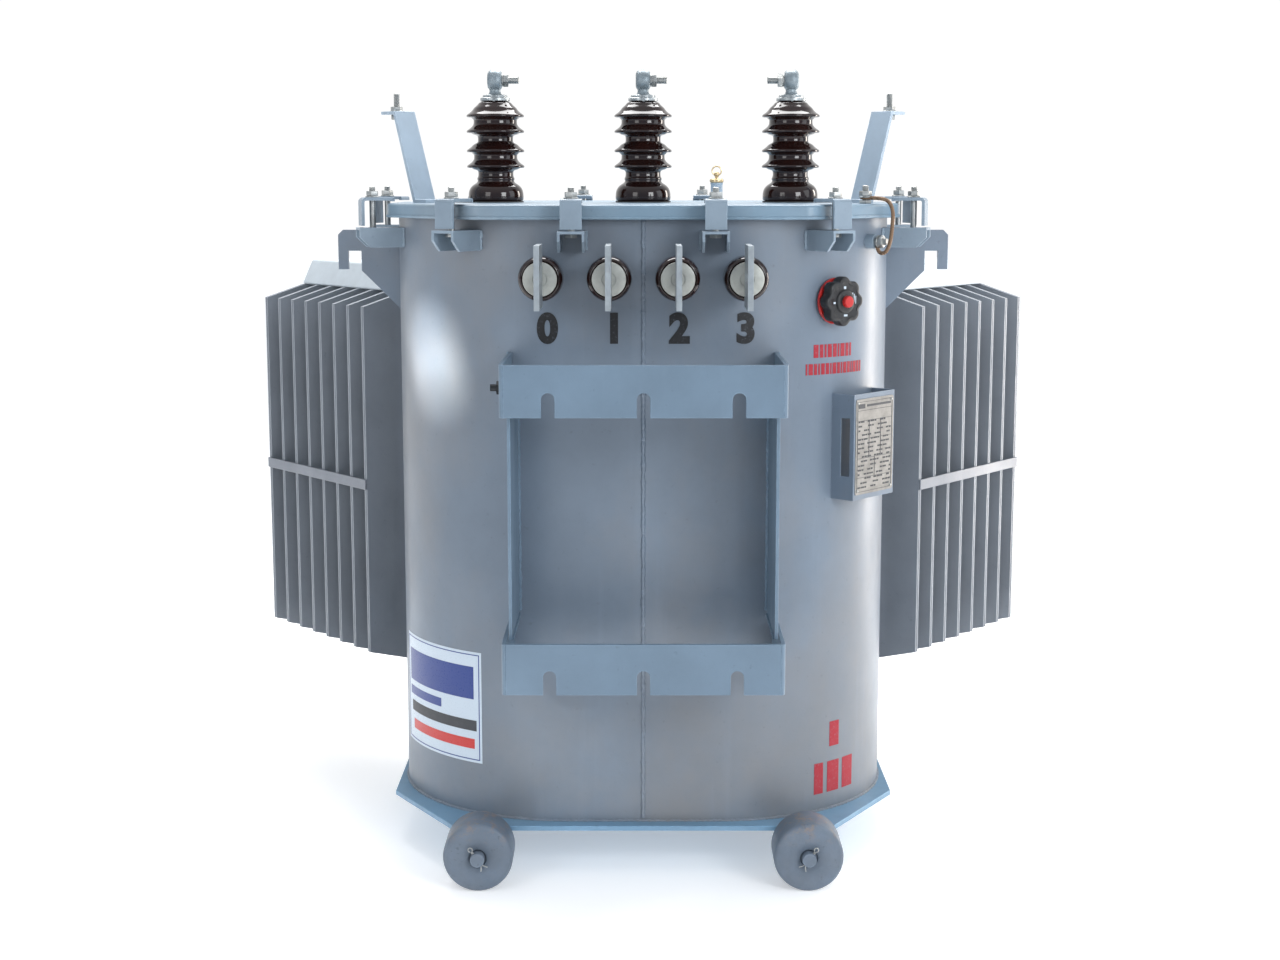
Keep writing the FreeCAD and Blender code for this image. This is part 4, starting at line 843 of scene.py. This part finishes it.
# lifting lugs and arrester brackets
refined("lifting_lugs", "liftingLugs", paint, 0.0012)
refined("arrester_brackets", "arresterArms", armPaint, 0.0008)
armShape = {"foot": (0.352, -0.020, 0), "turn": -42, "reach": 0.074}
armTurn = Matrix.Rotation(math.radians(armShape["turn"]), 3, "Z")
armSpot = Vector(armShape["foot"]) + armTurn @ Vector((0, armShape["reach"], 0))
armBolt = gathered(moved(hexNut(boltSize["flat"], 0.008), 0, 0, 1.163),
    washer(0.0105, boltSize["hole"], 0.0018, 1.176), moved(hexNut(boltSize["flat"], 0.0062), 0, 0,
    1.1778, 20), moved(threadedRod(boltSize["rod"], 0.042), 0, 0, 1.163))
moved(armBolt, armSpot.x, armSpot.y, 0)
pieceFrom(mirroredToo(armBolt), "arresterBolts", zinc, replaces=["arrester_bolts"])
print("lifting lugs and arrester brackets done")


# high-voltage bushings
hvShape = {"spots": ((-0.24, "left", 1), (0.0, "middle", 1), (0.24, "right", -1)), "back": 0.02,
    "stand": 1.032, "core": 0.0285, "neck": 0.0352, "shed": 0.0470,
    "sheds": (0.058, 0.083, 0.114, 0.139), "cap": 1.192, "boss": 1.2255}


def shedRows(rim, shed, under, over):
    # one umbrella: thin drip edge, hollow underside, full sloping top
    return [(under, rim - 0.0085), (shed - 0.0098, rim - 0.0072), (shed - 0.0072, rim - 0.0042),
        (shed - 0.0040, rim - 0.0036), (shed - 0.0016, rim - 0.0050), (shed - 0.0002, rim - 0.0036),
        (shed, rim - 0.0018), (shed - 0.0010, rim - 0.0004), (shed - 0.0050, rim + 0.0022),
        (shed - 0.0088, rim + 0.0052), (shed - 0.0112, rim + 0.0084), (over, rim + 0.0112)]


def porcelainRows():
    core, shed, neck = hvShape["core"], hvShape["shed"], hvShape["neck"]
    first, second, third, fourth = hvShape["sheds"]
    rows = [(0, -0.030), (0.0215, -0.030), (0.0215, 0.0), (0.0435, 0.0), (0.0449, 0.0014),
        (0.0450, 0.0090), (0.0445, 0.0150), (0.0425, 0.0205), (0.0385, 0.0252), (0.0330, 0.0285),
        (0.0300, 0.0305), (0.0296, 0.0335), (0.0305, 0.0345), (0.0305, 0.0372),
        (core + 0.0006, 0.0385), (core, 0.0420), (core, 0.0470)]
    rows += shedRows(first, shed, core + 0.0012, neck)
    rows += [(neck, second - 0.0100)]
    rows += shedRows(second, shed, neck, core + 0.0005)
    rows += [(core, second + 0.0130), (core, third - 0.0105)]
    rows += shedRows(third, shed, core + 0.0012, neck)
    rows += [(neck, fourth - 0.0100)]
    rows += shedRows(fourth, shed, neck, 0.0338)
    return rows + [(0.0300, fourth + 0.0140), (0.0270, fourth + 0.0172), (0.0250, fourth + 0.0205),
        (0.0, fourth + 0.0210)]


for x, side, way in hvShape["spots"]:
    body = moved(turned(porcelainRows(), 64), x, hvShape["back"], hvShape["stand"])
    made = pieceFrom(body, "hvPorcelain" + side.capitalize(), porcelain,
        replaces=["hv_bushing_" + side], sharp=75)
    smooth = made.modifiers.new("Rounded", "SUBSURF")
    smooth.levels = 1
    smooth.render_levels = 1


def bossRows():
    half = [(0.0090, 0.0120), (0.0122, 0.0113), (0.0148, 0.0092), (0.0165, 0.0062), (0.0173, 0.0030)]
    return [(0, -0.0120), *[(radius, -height) for radius, height in half], (0.0175, 0),
        *reversed(half), (0, 0.0120)]


capParts, headParts, studParts = [], [], []
for x, side, way in hvShape["spots"]:
    cap = turned([(0, 0), (0.0232, 0), (0.0240, 0.0008), (0.0240, 0.0046), (0.0228, 0.0056),
        (0.0205, 0.0060), (0.0198, 0.0092), (0.0188, 0.0100), (0, 0.0100)], 56)
    screw = moved(gathered(hexNut(0.0032, 0.0026), turned([(0, 0), (0.0018, 0), (0.0018, 0.0042),
        (0, 0.0042)], 12)), 0, -0.0212, 0.0026, 90, "X")
    capParts.append(moved(gathered(cap, screw), x, hvShape["back"], hvShape["cap"]))
    boss = moved(turned(bossRows(), 48, "X"), 0, 0, hvShape["boss"])
    neck = moved(turned([(0.0125, 0), (0.0100, 0.0022), (0.0088, 0.0060), (0.0095, 0.0100),
        (0.0108, 0.0135)], 32), 0, 0, 1.202)
    headParts.append(moved(gathered(boss, neck), x, hvShape["back"], 0))
    stud = gathered(turned([(0, 0.0120), (0.0105, 0.0120), (0.0105, 0.0138), (0.0063, 0.0138)], 28),
        moved(hexNut(0.0095, 0.0082), 0, 0, 0.0138, 15), moved(threadedRod(0.006, 0.027), 0, 0, 0.0120))
    bmesh.ops.rotate(stud, verts=stud.verts, cent=(0, 0, 0),
        matrix=Matrix.Rotation(way * quarterTurn, 3, "Y"))
    studParts.append(moved(stud, x, hvShape["back"], hvShape["boss"]))
pieceFrom(gathered(*capParts), "hvCaps", tinned, replaces=["hv_caps"])
pieceFrom(gathered(*headParts), "hvHeads", castCap, replaces=["hv_terminal_heads"])
pieceFrom(gathered(*studParts), "hvStuds", zinc, replaces=["hv_terminal_studs"])
print("high-voltage bushings done")


# low-voltage bushings
lvShape = {"pitch": 0.1, "height": 0.924, "root": -0.275, "face": -0.367}
lvSpots = [(number - 1.5) * lvShape["pitch"] for number in range(4)]
glazeRows = [(0, -0.0010), (0.0262, 0.0), (0.0262, 0.018), (0.0285, 0.0198), (0.0318, 0.0210),
    (0.0330, 0.0240), (0.0330, 0.0560), (0.0322, 0.0640), (0.0305, 0.0690), (0.0285, 0.0712),
    (0.0270, 0.0716), (0.0258, 0.0700), (0, 0.0700)]
# the root starts a little further back, so that it is sunk in the wall
glazeRows = [(radius, height - (0.0040 if number < 2 else 0) + 0.0204)
    for number, (radius, height) in enumerate(glazeRows)]
glazes, discs = [], []
for x in lvSpots:
    glazes.append(moved(turned(glazeRows, 72, "-Y"), x, lvShape["root"], lvShape["height"]))
    discs.append(moved(turned([(0, 0), (0.0248, 0), (0.0252, 0.0040), (0.0247, 0.0076),
        (0.0236, 0.0080), (0.0105, 0.0080), (0.0098, 0.0074), (0, 0.0074)], 64, "-Y"), x,
        lvShape["face"], lvShape["height"]))


refined("lv_blades", "lvBlades", bladeMetal, 0.0009)
pieceFrom(gathered(*glazes), "lvPorcelain", porcelain, replaces=["lv_bushings"],
    sharp=60)
pieceFrom(gathered(*discs), "lvDiscs", discMetal, replaces=["lv_discs"])
print("low-voltage bushings done")


# radiators
finShape = {"spot": (0.1539, -0.0265), "turn": -38.0, "start": 0.335, "pitch": 0.05, "count": 8,
    "thick": 0.009, "half": 0.150, "foot": 0.245, "head": 0.851, "shoulder": 0.022, "run": 0.078,
    "flange": 0.008, "flangeThick": 0.0026, "flutes": (-0.09, -0.03, 0.03, 0.09), "fluteHalf": 0.011,
    "fluteDeep": 0.0026, "seamRadius": 0.00125}


def finOutline():
    shape = finShape
    half, low, high = shape["half"], shape["foot"], shape["head"]
    inner = half - shape["run"]
    return [(-half, low), (-inner, low - shape["shoulder"]), (inner, low - shape["shoulder"]),
        (half, low), (half, high), (inner, high + shape["shoulder"]),
        (-inner, high + shape["shoulder"]), (-half, high)]


def fluted(side):
    shape = finShape
    bm = bmesh.new()
    # flutes run between two cross cuts, so that they fade out at top and foot
    flat = bm.faces.new([bm.verts.new((x, side * shape["flangeThick"] / 2, z))
        for x, z in finOutline()])
    bmesh.ops.inset_region(bm, faces=[flat], thickness=shape["flange"], use_even_offset=True)
    bmesh.ops.inset_region(bm, faces=[flat], thickness=0.005, use_even_offset=True)
    panel = side * shape["thick"] / 2
    for vert in flat.verts:
        vert.co.y = panel

    def panelGeom():
        faces = [face for face in bm.faces if all(abs(vert.co.y - panel) < sameSpot
            for vert in face.verts)]
        edges = {edge for face in faces for edge in face.edges}
        verts = {vert for face in faces for vert in face.verts}
        return faces + list(edges) + list(verts)

    for middle in shape["flutes"]:
        for shift in (-shape["fluteHalf"], 0, shape["fluteHalf"]):
            cutAcross(bm, panelGeom(), (middle + shift, 0, 0))
    for z in (shape["foot"] + 0.012, shape["foot"] + 0.030, shape["head"] - 0.030,
            shape["head"] - 0.012):
        cutAcross(bm, panelGeom(), (0, 0, z), (0, 0, 1))
    for vert in bm.verts:
        inFlute = min(abs(vert.co.x - middle) for middle in shape["flutes"]) < 1e-4
        midway = shape["foot"] + 0.025 < vert.co.z < shape["head"] - 0.025
        if inFlute and midway and abs(vert.co.y - panel) < sameSpot:
            vert.co.y -= side * shape["fluteDeep"]
    return bm


def oneFin():
    both = gathered(fluted(-1), fluted(1))
    bmesh.ops.bridge_loops(both, edges=[edge for edge in both.edges if len(edge.link_faces) == 1])
    return facedOut(both)


radiatorTurn = Matrix.Rotation(math.radians(finShape["turn"]), 4, "Z")
radiatorPlace = Matrix.Translation((*finShape["spot"], 0)) @ radiatorTurn
finPlaces = []
for number in range(finShape["count"]):
    out = finShape["start"] + number * finShape["pitch"] + finShape["thick"] / 2
    finPlaces.append(radiatorPlace @ Matrix.Translation((0, out, 0)))
flipX = Matrix.Diagonal((-1, 1, 1, 1))
for side, flip in (("right", Matrix.Identity(4)), ("left", flipX)):
    fins = stamped(oneFin(), [flip @ place for place in finPlaces])
    pieceFrom(fins, "fins" + side.capitalize(), finPaint,
        replaces=["radiator_fins_" + side], sharp=28)
    seamWire = swept([(x * 0.9955, 0, z + (0.0008 if z < 0.4 else -0.0008)) for x, z in finOutline()],
        finShape["seamRadius"], sides=6, closed=True)
    pieceFrom(stamped(seamWire, [flip @ place for place in finPlaces]), "finSeams" + side.capitalize(),
        seamPaint)
    # the ducts take the near-white enamel, which is painted sunlight
    refined("radiator_upper_duct_" + side, "upperDuct" + side.capitalize(), ductSunlitPaint,
        0.004, 3)
    refined("radiator_lower_pipe_" + side, "lowerPipe" + side.capitalize(), finPaint,
        0.002)
refined("radiator_straps", "radiatorStraps", strapPaint, 0.0010)
print("radiators done")


# rollers, axles and split pins
rollerShape = {"x": 0.2505, "inner": 0.305, "z": 0.053, "pinTilt": 35}
rollerRows = [(0.01115, 0.0000), (0.046, 0), (0.0505, 0.0010), (0.0524, 0.0030), (0.0530, 0.0060),
    (0.0530, 0.0630), (0.0522, 0.0668), (0.0500, 0.0692), (0.0478, 0.0700), (0.0142, 0.0700),
    (0.0136, 0.0694), (0.0134, 0.0640), (0.01115, 0.0640), (0.01115, 0.0000)]
for end, way in (("front", "-Y"), ("rear", "Y")):
    for side, sign in (("left", -1), ("right", 1)):
        start = rollerShape["inner"] * (-1 if end == "front" else 1)
        roller = moved(turned(rollerRows, 72, way), sign * rollerShape["x"], start, rollerShape["z"])
        pieceFrom(roller, "roller" + end.capitalize() + side.capitalize(), wheelPaint,
            body="wheel_" + end + "_" + side, replaces=["wheel_" + end + "_" + side], sharp=50)

axleParts, pinParts = [], []
for sign in (-1, 1):
    axle = turned([(0, 0.302), (0.0170, 0.302), (0.0170, 0.3047), (0.0110, 0.3047), (0.0110, 0.3845),
        (0.0106, 0.3862), (0.0096, 0.3870), (0, 0.3870)], 48, "-Y")
    axleParts.append(moved(axle, sign * rollerShape["x"], 0, rollerShape["z"]))
    tilt = Matrix.Rotation(math.radians(sign * rollerShape["pinTilt"]), 3, "Y")
    spot = Vector((sign * rollerShape["x"], -0.381, rollerShape["z"]))
    eye = [Vector((0.0032 * math.sin(angle), 0, 0.0148 + 0.0034 - 0.0034 * math.cos(angle)))
        for angle in [math.radians(30 + part * 30) for part in range(11)]]
    legs = []
    for spread in (-1, 1):
        legs.append(swept([spot + tilt @ Vector(point) for point in [(spread * 0.0009, 0, 0.0150),
            (spread * 0.0010, 0, 0.0), (spread * 0.0012, 0, -0.0115),
            (spread * 0.0034, -0.0006, -0.0150), (spread * 0.0062, -0.0010, -0.0182)]], 0.0010,
            sides=8))
    ringPoints = [spot + tilt @ point for point in eye]
    pinParts += legs + [swept(ringPoints, 0.0010, sides=8)]
axleBm = gathered(*axleParts)
pinBm = gathered(*pinParts)
mirroredToo(axleBm, "Y")
mirroredToo(pinBm, "Y")
pieceFrom(axleBm, "axles", wheelPaint, replaces=["wheel_axles"])
pieceFrom(pinBm, "splitPins", zinc, replaces=["wheel_cotters"])
refined("wheel_beams", "wheelBeams", basePaint, 0.0015)
print("rollers done")


# tap changer
tapShape = {"wallTurn": 38, "height": 0.884, "lobes": 8, "lobeDeep": 0.0025, "radius": 0.0351}
tapX, tapY = onWall(tapShape["wallTurn"])
tapTurn = Matrix.Rotation(math.radians(tapShape["wallTurn"]), 4, "Z")
tapPlace = Matrix.Translation((tapX, tapY, tapShape["height"])) @ tapTurn
tapPlace = tapPlace @ Matrix.Rotation(quarterTurn, 4, "X")


def lobedKnob():
    # heights run outwards from the wall; the rim is scalloped and its face is dished
    rows = [(0.0085, 0.0104, 0), (0.92, 0.0104, 1), (0.985, 0.0114, 1), (1.0, 0.0135, 1),
        (1.0, 0.0245, 1), (0.975, 0.0268, 1), (0.93, 0.0280, 1), (0.80, 0.0282, 0.5),
        (0.775, 0.0272, 0.2), (0.52, 0.0270, 0), (0.50, 0.0292, 0), (0.47, 0.0300, 0),
        (0.33, 0.0302, 0)]
    bm = bmesh.new()
    ring = bmesh.ops.create_circle(bm, segments=144, radius=1.0)["verts"]
    edges = list(bm.edges)
    firstEdges = edges

    def settle(verts, row):
        share, height, lobe = row
        for vert in verts:
            angle = math.atan2(vert.co.y, vert.co.x)
            wave = 1 - abs(math.sin(angle * tapShape["lobes"] / 2)) ** 3
            reach = tapShape["radius"] * share
            reach += lobe * tapShape["lobeDeep"] * (2 * wave - 1)
            if share < 0.3:
                reach = share
            vert.co = (math.cos(angle) * reach, math.sin(angle) * reach, height)

    settle(ring, rows[0])
    for row in rows[1:]:
        verts, edges = extruded(bm, edges)
        settle(verts, row)
    bmesh.ops.holes_fill(bm, edges=edges, sides=0)
    bmesh.ops.holes_fill(bm, edges=firstEdges, sides=0)
    facedOut(bm)
    return placed(bm, tapPlace)


pieceFrom(lobedKnob(), "tapKnob", blackMoulding, body="tap_knob",
    replaces=["tap_knob"], sharp=40)
lockBm = turned([(0, 0.0300), (0.0088, 0.0300), (0.0090, 0.0306), (0.0090, 0.0355), (0.0082, 0.0370),
    (0.0060, 0.0374), (0, 0.0372)], 40)
placed(lockBm, tapPlace)
pieceFrom(lockBm, "tapLockCap", redMoulding, body="tap_knob", replaces=["tap_lock_cap"])
tapMarks = []
for low, high in (((-0.0240, -0.0030), (-0.0200, 0.0000)), ((0.0150, 0.0020), (0.0165, 0.0130)),
        ((0.0182, -0.0010), (0.0197, 0.0110)), ((0.0214, -0.0040), (0.0226, 0.0080)),
        ((-0.0020, -0.0225), (0.0050, -0.0195)), ((-0.0030, 0.0190), (0.0015, 0.0230))):
    tapMarks.append(brick((*low, 0.0269), (*high, 0.0274)))
markBm = gathered(*tapMarks)
placed(markBm, tapPlace)
pieceFrom(markBm, "tapMarks", whiteLabel, body="tap_knob")
flangeBm = turned([(0.0082, -0.0010), (0.0300, -0.0010), (0.0300, 0.0088), (0.0294, 0.0100),
    (0.0082, 0.0100), (0.0082, -0.0010)], 72)
redRing = turned([(0.0301, 0.0030), (0.0345, 0.0030), (0.0352, 0.0037), (0.0352, 0.0062),
    (0.0345, 0.0069), (0.0301, 0.0069), (0.0301, 0.0030)], 72)
for bm in (flangeBm, redRing):
    placed(bm, tapPlace)
pieceFrom(flangeBm, "tapFlange", blackMoulding, replaces=["tap_flange"])
pieceFrom(redRing, "tapRing", redMoulding)
print("tap changer done")


# relief valve and its ring
reliefSpot = (0.112, -0.190)
pipeBm = turned([(0, 0), (0.0118, 0), (0.0118, 0.0022), (0.0092, 0.0036), (0.0090, 0.0290),
    (0.0096, 0.0298), (0.0096, 0.0316), (0.0088, 0.0322), (0, 0.0322)], 40)
moved(pipeBm, *reliefSpot, lidTop)
pieceFrom(pipeBm, "reliefPipe", armPaint)
domeBm = turned([(0, 0.0318), (0.0086, 0.0318), (0.0102, 0.0330), (0.0106, 0.0350), (0.0098, 0.0372),
    (0.0076, 0.0386), (0.0045, 0.0390), (0, 0.0390)], 48)
moved(domeBm, *reliefSpot, lidTop)
pieceFrom(domeBm, "reliefCap", brass, replaces=["relief_valve"])
pinTop = lidTop + 0.039
pullParts = [moved(turned([(0, -0.0040), (0.0024, -0.0040), (0.0024, 0.0020), (0.0034, 0.0028),
    (0.0040, 0.0046), (0.0040, 0.0066), (0.0032, 0.0084), (0.0016, 0.0094), (0, 0.0096)], 32),
    *reliefSpot, pinTop)]
ringPath = [Vector((reliefSpot[0] + 0.0070 * math.sin(angle), reliefSpot[1],
    pinTop + 0.0108 - 0.0070 * math.cos(angle))) for angle in [math.tau * part / 40
    for part in range(40)]]
pullParts.append(swept(ringPath, 0.0011, sides=10, closed=True))
pieceFrom(gathered(*pullParts), "reliefPull", brass, body="relief_pull",
    replaces=["relief_pull_ring"])
print("relief valve done")


# name plate
plateShape = {"wallTurn": 50, "half": 0.052, "low": 0.586, "high": 0.734, "back": -0.0360,
    "face": -0.0370, "ink": -0.03735}
plateTurn = Matrix.Rotation(math.radians(plateShape["wallTurn"]), 4, "Z")
platePlace = Matrix.Translation((*onWall(plateShape["wallTurn"]), 0)) @ plateTurn
refined("name_plate_holder", "plateHolder", paint, 0.0008)
sheetBm = brick((-plateShape["half"], plateShape["face"], plateShape["low"]),
    (plateShape["half"], plateShape["back"], plateShape["high"]))
corners = [edge for edge in sheetBm.edges if abs(edge.verts[0].co.y - edge.verts[1].co.y) > 5e-4]
bevelled(sheetBm, corners, 0.004, 4)
placed(sheetBm, platePlace)
pieceFrom(sheetBm, "namePlate", plateMetal, replaces=["name_plate"])


def plateMark(x0, x1, z0, z1):
    return brick((x0, plateShape["ink"], z0), (x1, plateShape["face"], z1))


plateMarks = []
left, right, low, high = -0.048, 0.048, 0.590, 0.730
line = 0.0006
for z in (low, high - line, 0.716, 0.700, 0.672, 0.642, 0.612):
    plateMarks.append(plateMark(left, right, z, z + line))
for x in (left, right - line):
    plateMarks.append(plateMark(x, x + line, low, high))
for x in (-0.016, 0.016):
    plateMarks.append(plateMark(x, x + line, 0.642, 0.700))
plateMarks.append(plateMark(0.000, 0.000 + line, 0.612, 0.642))
for row in range(16):
    z = 0.5955 + row * 0.0068
    x = left + 0.003
    number = 0
    while x < right - 0.006:
        length = 0.004 + 0.005 * (0.5 + 0.5 * math.sin(row * 3.7 + number * 2.3))
        if math.sin(row * 5.1 + number * 1.7) > -0.55:
            plateMarks.append(plateMark(x, min(x + length, right - 0.003), z, z + 0.0026))
        x += length + 0.0022
        number += 1
plateMarks.append(plateMark(left + 0.003, left + 0.020, 0.7195, 0.7265))
plateMarks.append(plateMark(left + 0.026, right - 0.004, 0.7215, 0.7250))
markBm = gathered(*plateMarks)
placed(markBm, platePlace)
pieceFrom(markBm, "plateMarks", darkInk)
rivets = []
for x in (-0.046, 0.046):
    for z in (0.592, 0.728):
        rivets.append(moved(turned([(0, -0.0002), (0.0021, -0.0002), (0.0020, 0.0006),
            (0.0013, 0.0013), (0, 0.0015)], 20, "-Y"), x, plateShape["face"], z))
rivetBm = gathered(*rivets)
placed(rivetBm, platePlace)
pieceFrom(rivetBm, "plateRivets", zinc, replaces=["name_plate_rivets"])
print("name plate done")


# earthing
earthShape = {"wallTurn": 56, "lidIn": 0.005, "level": 0.972, "lift": 0.008}
earthTurn = math.radians(earthShape["wallTurn"])
earthOut = Vector((math.sin(earthTurn), -math.cos(earthTurn), 0))
arcCentre = Vector((tank["straight"], 0, 0))


def earthPoint(reach, height):
    return arcCentre + earthOut * reach + Vector((0, 0, height))


lidBolt = gathered(threadedRod(boltSize["rod"], 0.033),
    moved(hexNut(boltSize["flat"], 0.005), 0, 0, 0.005),
    washer(0.0100, boltSize["hole"], 0.0016, 0.0145), moved(hexNut(boltSize["flat"], 0.0075), 0, 0,
    0.0168, 25))
spot = earthPoint(r - earthShape["lidIn"], lidTop - 0.005)
moved(lidBolt, *spot)
wallBolt = gathered(turned([(0, 0), (0.0050, 0), (0.0050, 0.020), (0, 0.020)], 20),
    moved(hexNut(boltSize["flat"], 0.008), 0, 0, 0.0062),
    washer(0.0100, boltSize["hole"], 0.0014, 0.0048))
bmesh.ops.rotate(wallBolt, verts=wallBolt.verts, cent=(0, 0, 0),
    matrix=Matrix.Rotation(quarterTurn, 3, "X"))
moved(wallBolt, 0, 0, 0, earthShape["wallTurn"])
moved(wallBolt, *earthPoint(r + 0.014, earthShape["level"]))
pieceFrom(gathered(lidBolt, wallBolt), "earthBolts", zinc, replaces=["earth_bolts"])
refined("earth_boss", "earthBoss", clampPaint, 0.0008)
over = lidTop + earthShape["lift"]
jumperRoute = [(r + 0.0005, over + 0.0005), (r + 0.018, over + 0.001), (r + 0.036, over - 0.003),
    (r + 0.0435, over - 0.020), (r + 0.0425, 1.000), (r + 0.0405, 0.975), (r + 0.033, 0.955),
    (r + 0.0225, 0.9535), (r + 0.0175, 0.9600), (r + 0.017, 0.966)]
curve = bpy.data.curves.new("jumperLine", "CURVE")
curve.dimensions = "3D"
spline = curve.splines.new("NURBS")
spline.points.add(len(jumperRoute) - 1)
for point, (reach, height) in zip(spline.points, jumperRoute):
    point.co = (*earthPoint(reach, height), 1)
spline.order_u = 3
spline.use_endpoint_u = True
spline.resolution_u = 8
lineObject = bpy.data.objects.new("jumperLine", curve)
lineMesh = bpy.data.meshes.new_from_object(lineObject)
jumperPath = [vert.co.copy() for vert in lineMesh.vertices]
bpy.data.objects.remove(lineObject)
bpy.data.meshes.remove(lineMesh)
jumperWidths = [0.0029 + 0.00022 * (number % 2) for number in range(len(jumperPath))]
jumperBm = swept(jumperPath, jumperWidths, sides=12)
jumperEye = moved(washer(0.0085, boltSize["hole"], 0.0026),
    *earthPoint(r - earthShape["lidIn"], lidTop + 0.0065))
jumperBm = gathered(jumperBm, jumperEye)
pieceFrom(jumperBm, "earthJumper", jumperBraid, replaces=["earth_jumper"])
print("earthing done")


# stencilled numbers, marks and the label
def numeral(character, height):
    text = bpy.data.curves.new("numeral", "FONT")
    text.body = character
    text.size = height * 1.37
    text.offset = 0.0030
    text.align_x = "CENTER"
    text.extrude = 0.00012
    text.resolution_u = 6
    holder = bpy.data.objects.new("numeral", text)
    mesh = bpy.data.meshes.new_from_object(holder)
    bm = bmesh.new()
    bm.from_mesh(mesh)
    bpy.data.objects.remove(holder)
    bpy.data.meshes.remove(mesh)
    bmesh.ops.remove_doubles(bm, verts=bm.verts, dist=sameSpot)
    return placed(bm, Matrix.Rotation(quarterTurn, 4, "X"))


numerals = []
for number, x in enumerate(lvSpots):
    digit = numeral(str(number), 0.0435)
    moved(digit, x + (0.006 if x < 0 else 0.004), -0.0006, 0.826)
    numerals.append(digit)
pieceFrom(bentToWall(gathered(*numerals)), "terminalNumerals", blackStencil)


def stencilBar(along, wide, low, high, out=0.0005):
    # a painted bar, cut into short lengths so that it follows the wall
    bm = brick((along, -out, low), (along + wide, 0.0004, high))
    count = max(1, round(wide / 0.008))
    for number in range(1, count):
        cutAcross(bm, everything(bm), (along + wide * number / count, 0, 0))
    return bm


redMarks = []
strokes = (0.0085, 0.0040, 0.0070, 0.0095, 0.0035, 0.0080)
for start, count, share, gap, low, high in ((0.266, 9, 0.95, 0.0027, 0.798, 0.818),
        (0.252, 16, 0.80, 0.0024, 0.772, 0.789)):
    along = start
    for number in range(count):
        wide = strokes[(number * 5 + count) % len(strokes)] * share
        redMarks.append(stencilBar(along, wide, low, high))
        along += wide + gap
for along, wide, low, high in ((0.309, 0.021, 0.180, 0.220), (0.278, 0.018, 0.106, 0.156),
        (0.305, 0.026, 0.106, 0.156), (0.340, 0.026, 0.106, 0.156)):
    redMarks.append(stencilBar(along, wide, low, high))
pieceFrom(bentToWall(gathered(*redMarks)), "redMarks", redStencil)

labelShape = {"left": -0.470, "right": -0.258, "low": 0.160, "high": 0.338, "ink": 0.0007}
pieceFrom(bentToWall(stencilBar(labelShape["left"], labelShape["right"] - labelShape["left"],
    labelShape["low"], labelShape["high"], 0.0004)), "wallLabel", whiteLabel)
blueBars = [(-0.455, 0.182, 0.262, 0.314), (-0.455, 0.110, 0.238, 0.252),
    (-0.466, 0.204, 0.3325, 0.3340), (-0.466, 0.204, 0.1640, 0.1655), (-0.4660, 0.0015, 0.164, 0.334),
    (-0.2635, 0.0015, 0.164, 0.334)]
darkBars = [(-0.448, 0.180, 0.211, 0.228)]
redBars = [(-0.440, 0.168, 0.182, 0.198)]
for name, ink, bars in (("labelBands", blueLabel, blueBars), ("labelBar", darkInk, darkBars),
        ("labelStripes", redLabel, redBars)):
    printed = gathered(*[stencilBar(*bar, labelShape["ink"]) for bar in bars])
    pieceFrom(bentToWall(printed), name, ink)
print("marks done")


# what stays as the CAD made it
keptFinishes = {"lid_gasket": rubber, "hv_gaskets": rubber, "tap_switch": blackMoulding,
    "tap_shaft": shaftSteel, "bracket_bolt": darkSteel, "core": coreSteel, "core_clamps": yokePrimer,
    "core_tie_rods": yokePrimer, "hv_windings": oiledPaper, "coil_packing": oiledPaper,
    "lv_windings": coilCopper, "hv_leads": coilCopper, "lv_leads": coilCopper}
for nodeName, finish in keptFinishes.items():
    mesh = cadNodes[nodeName].data
    mesh.materials.clear()
    mesh.materials.append(finish)
print("kept nodes finished:", len(keptFinishes))
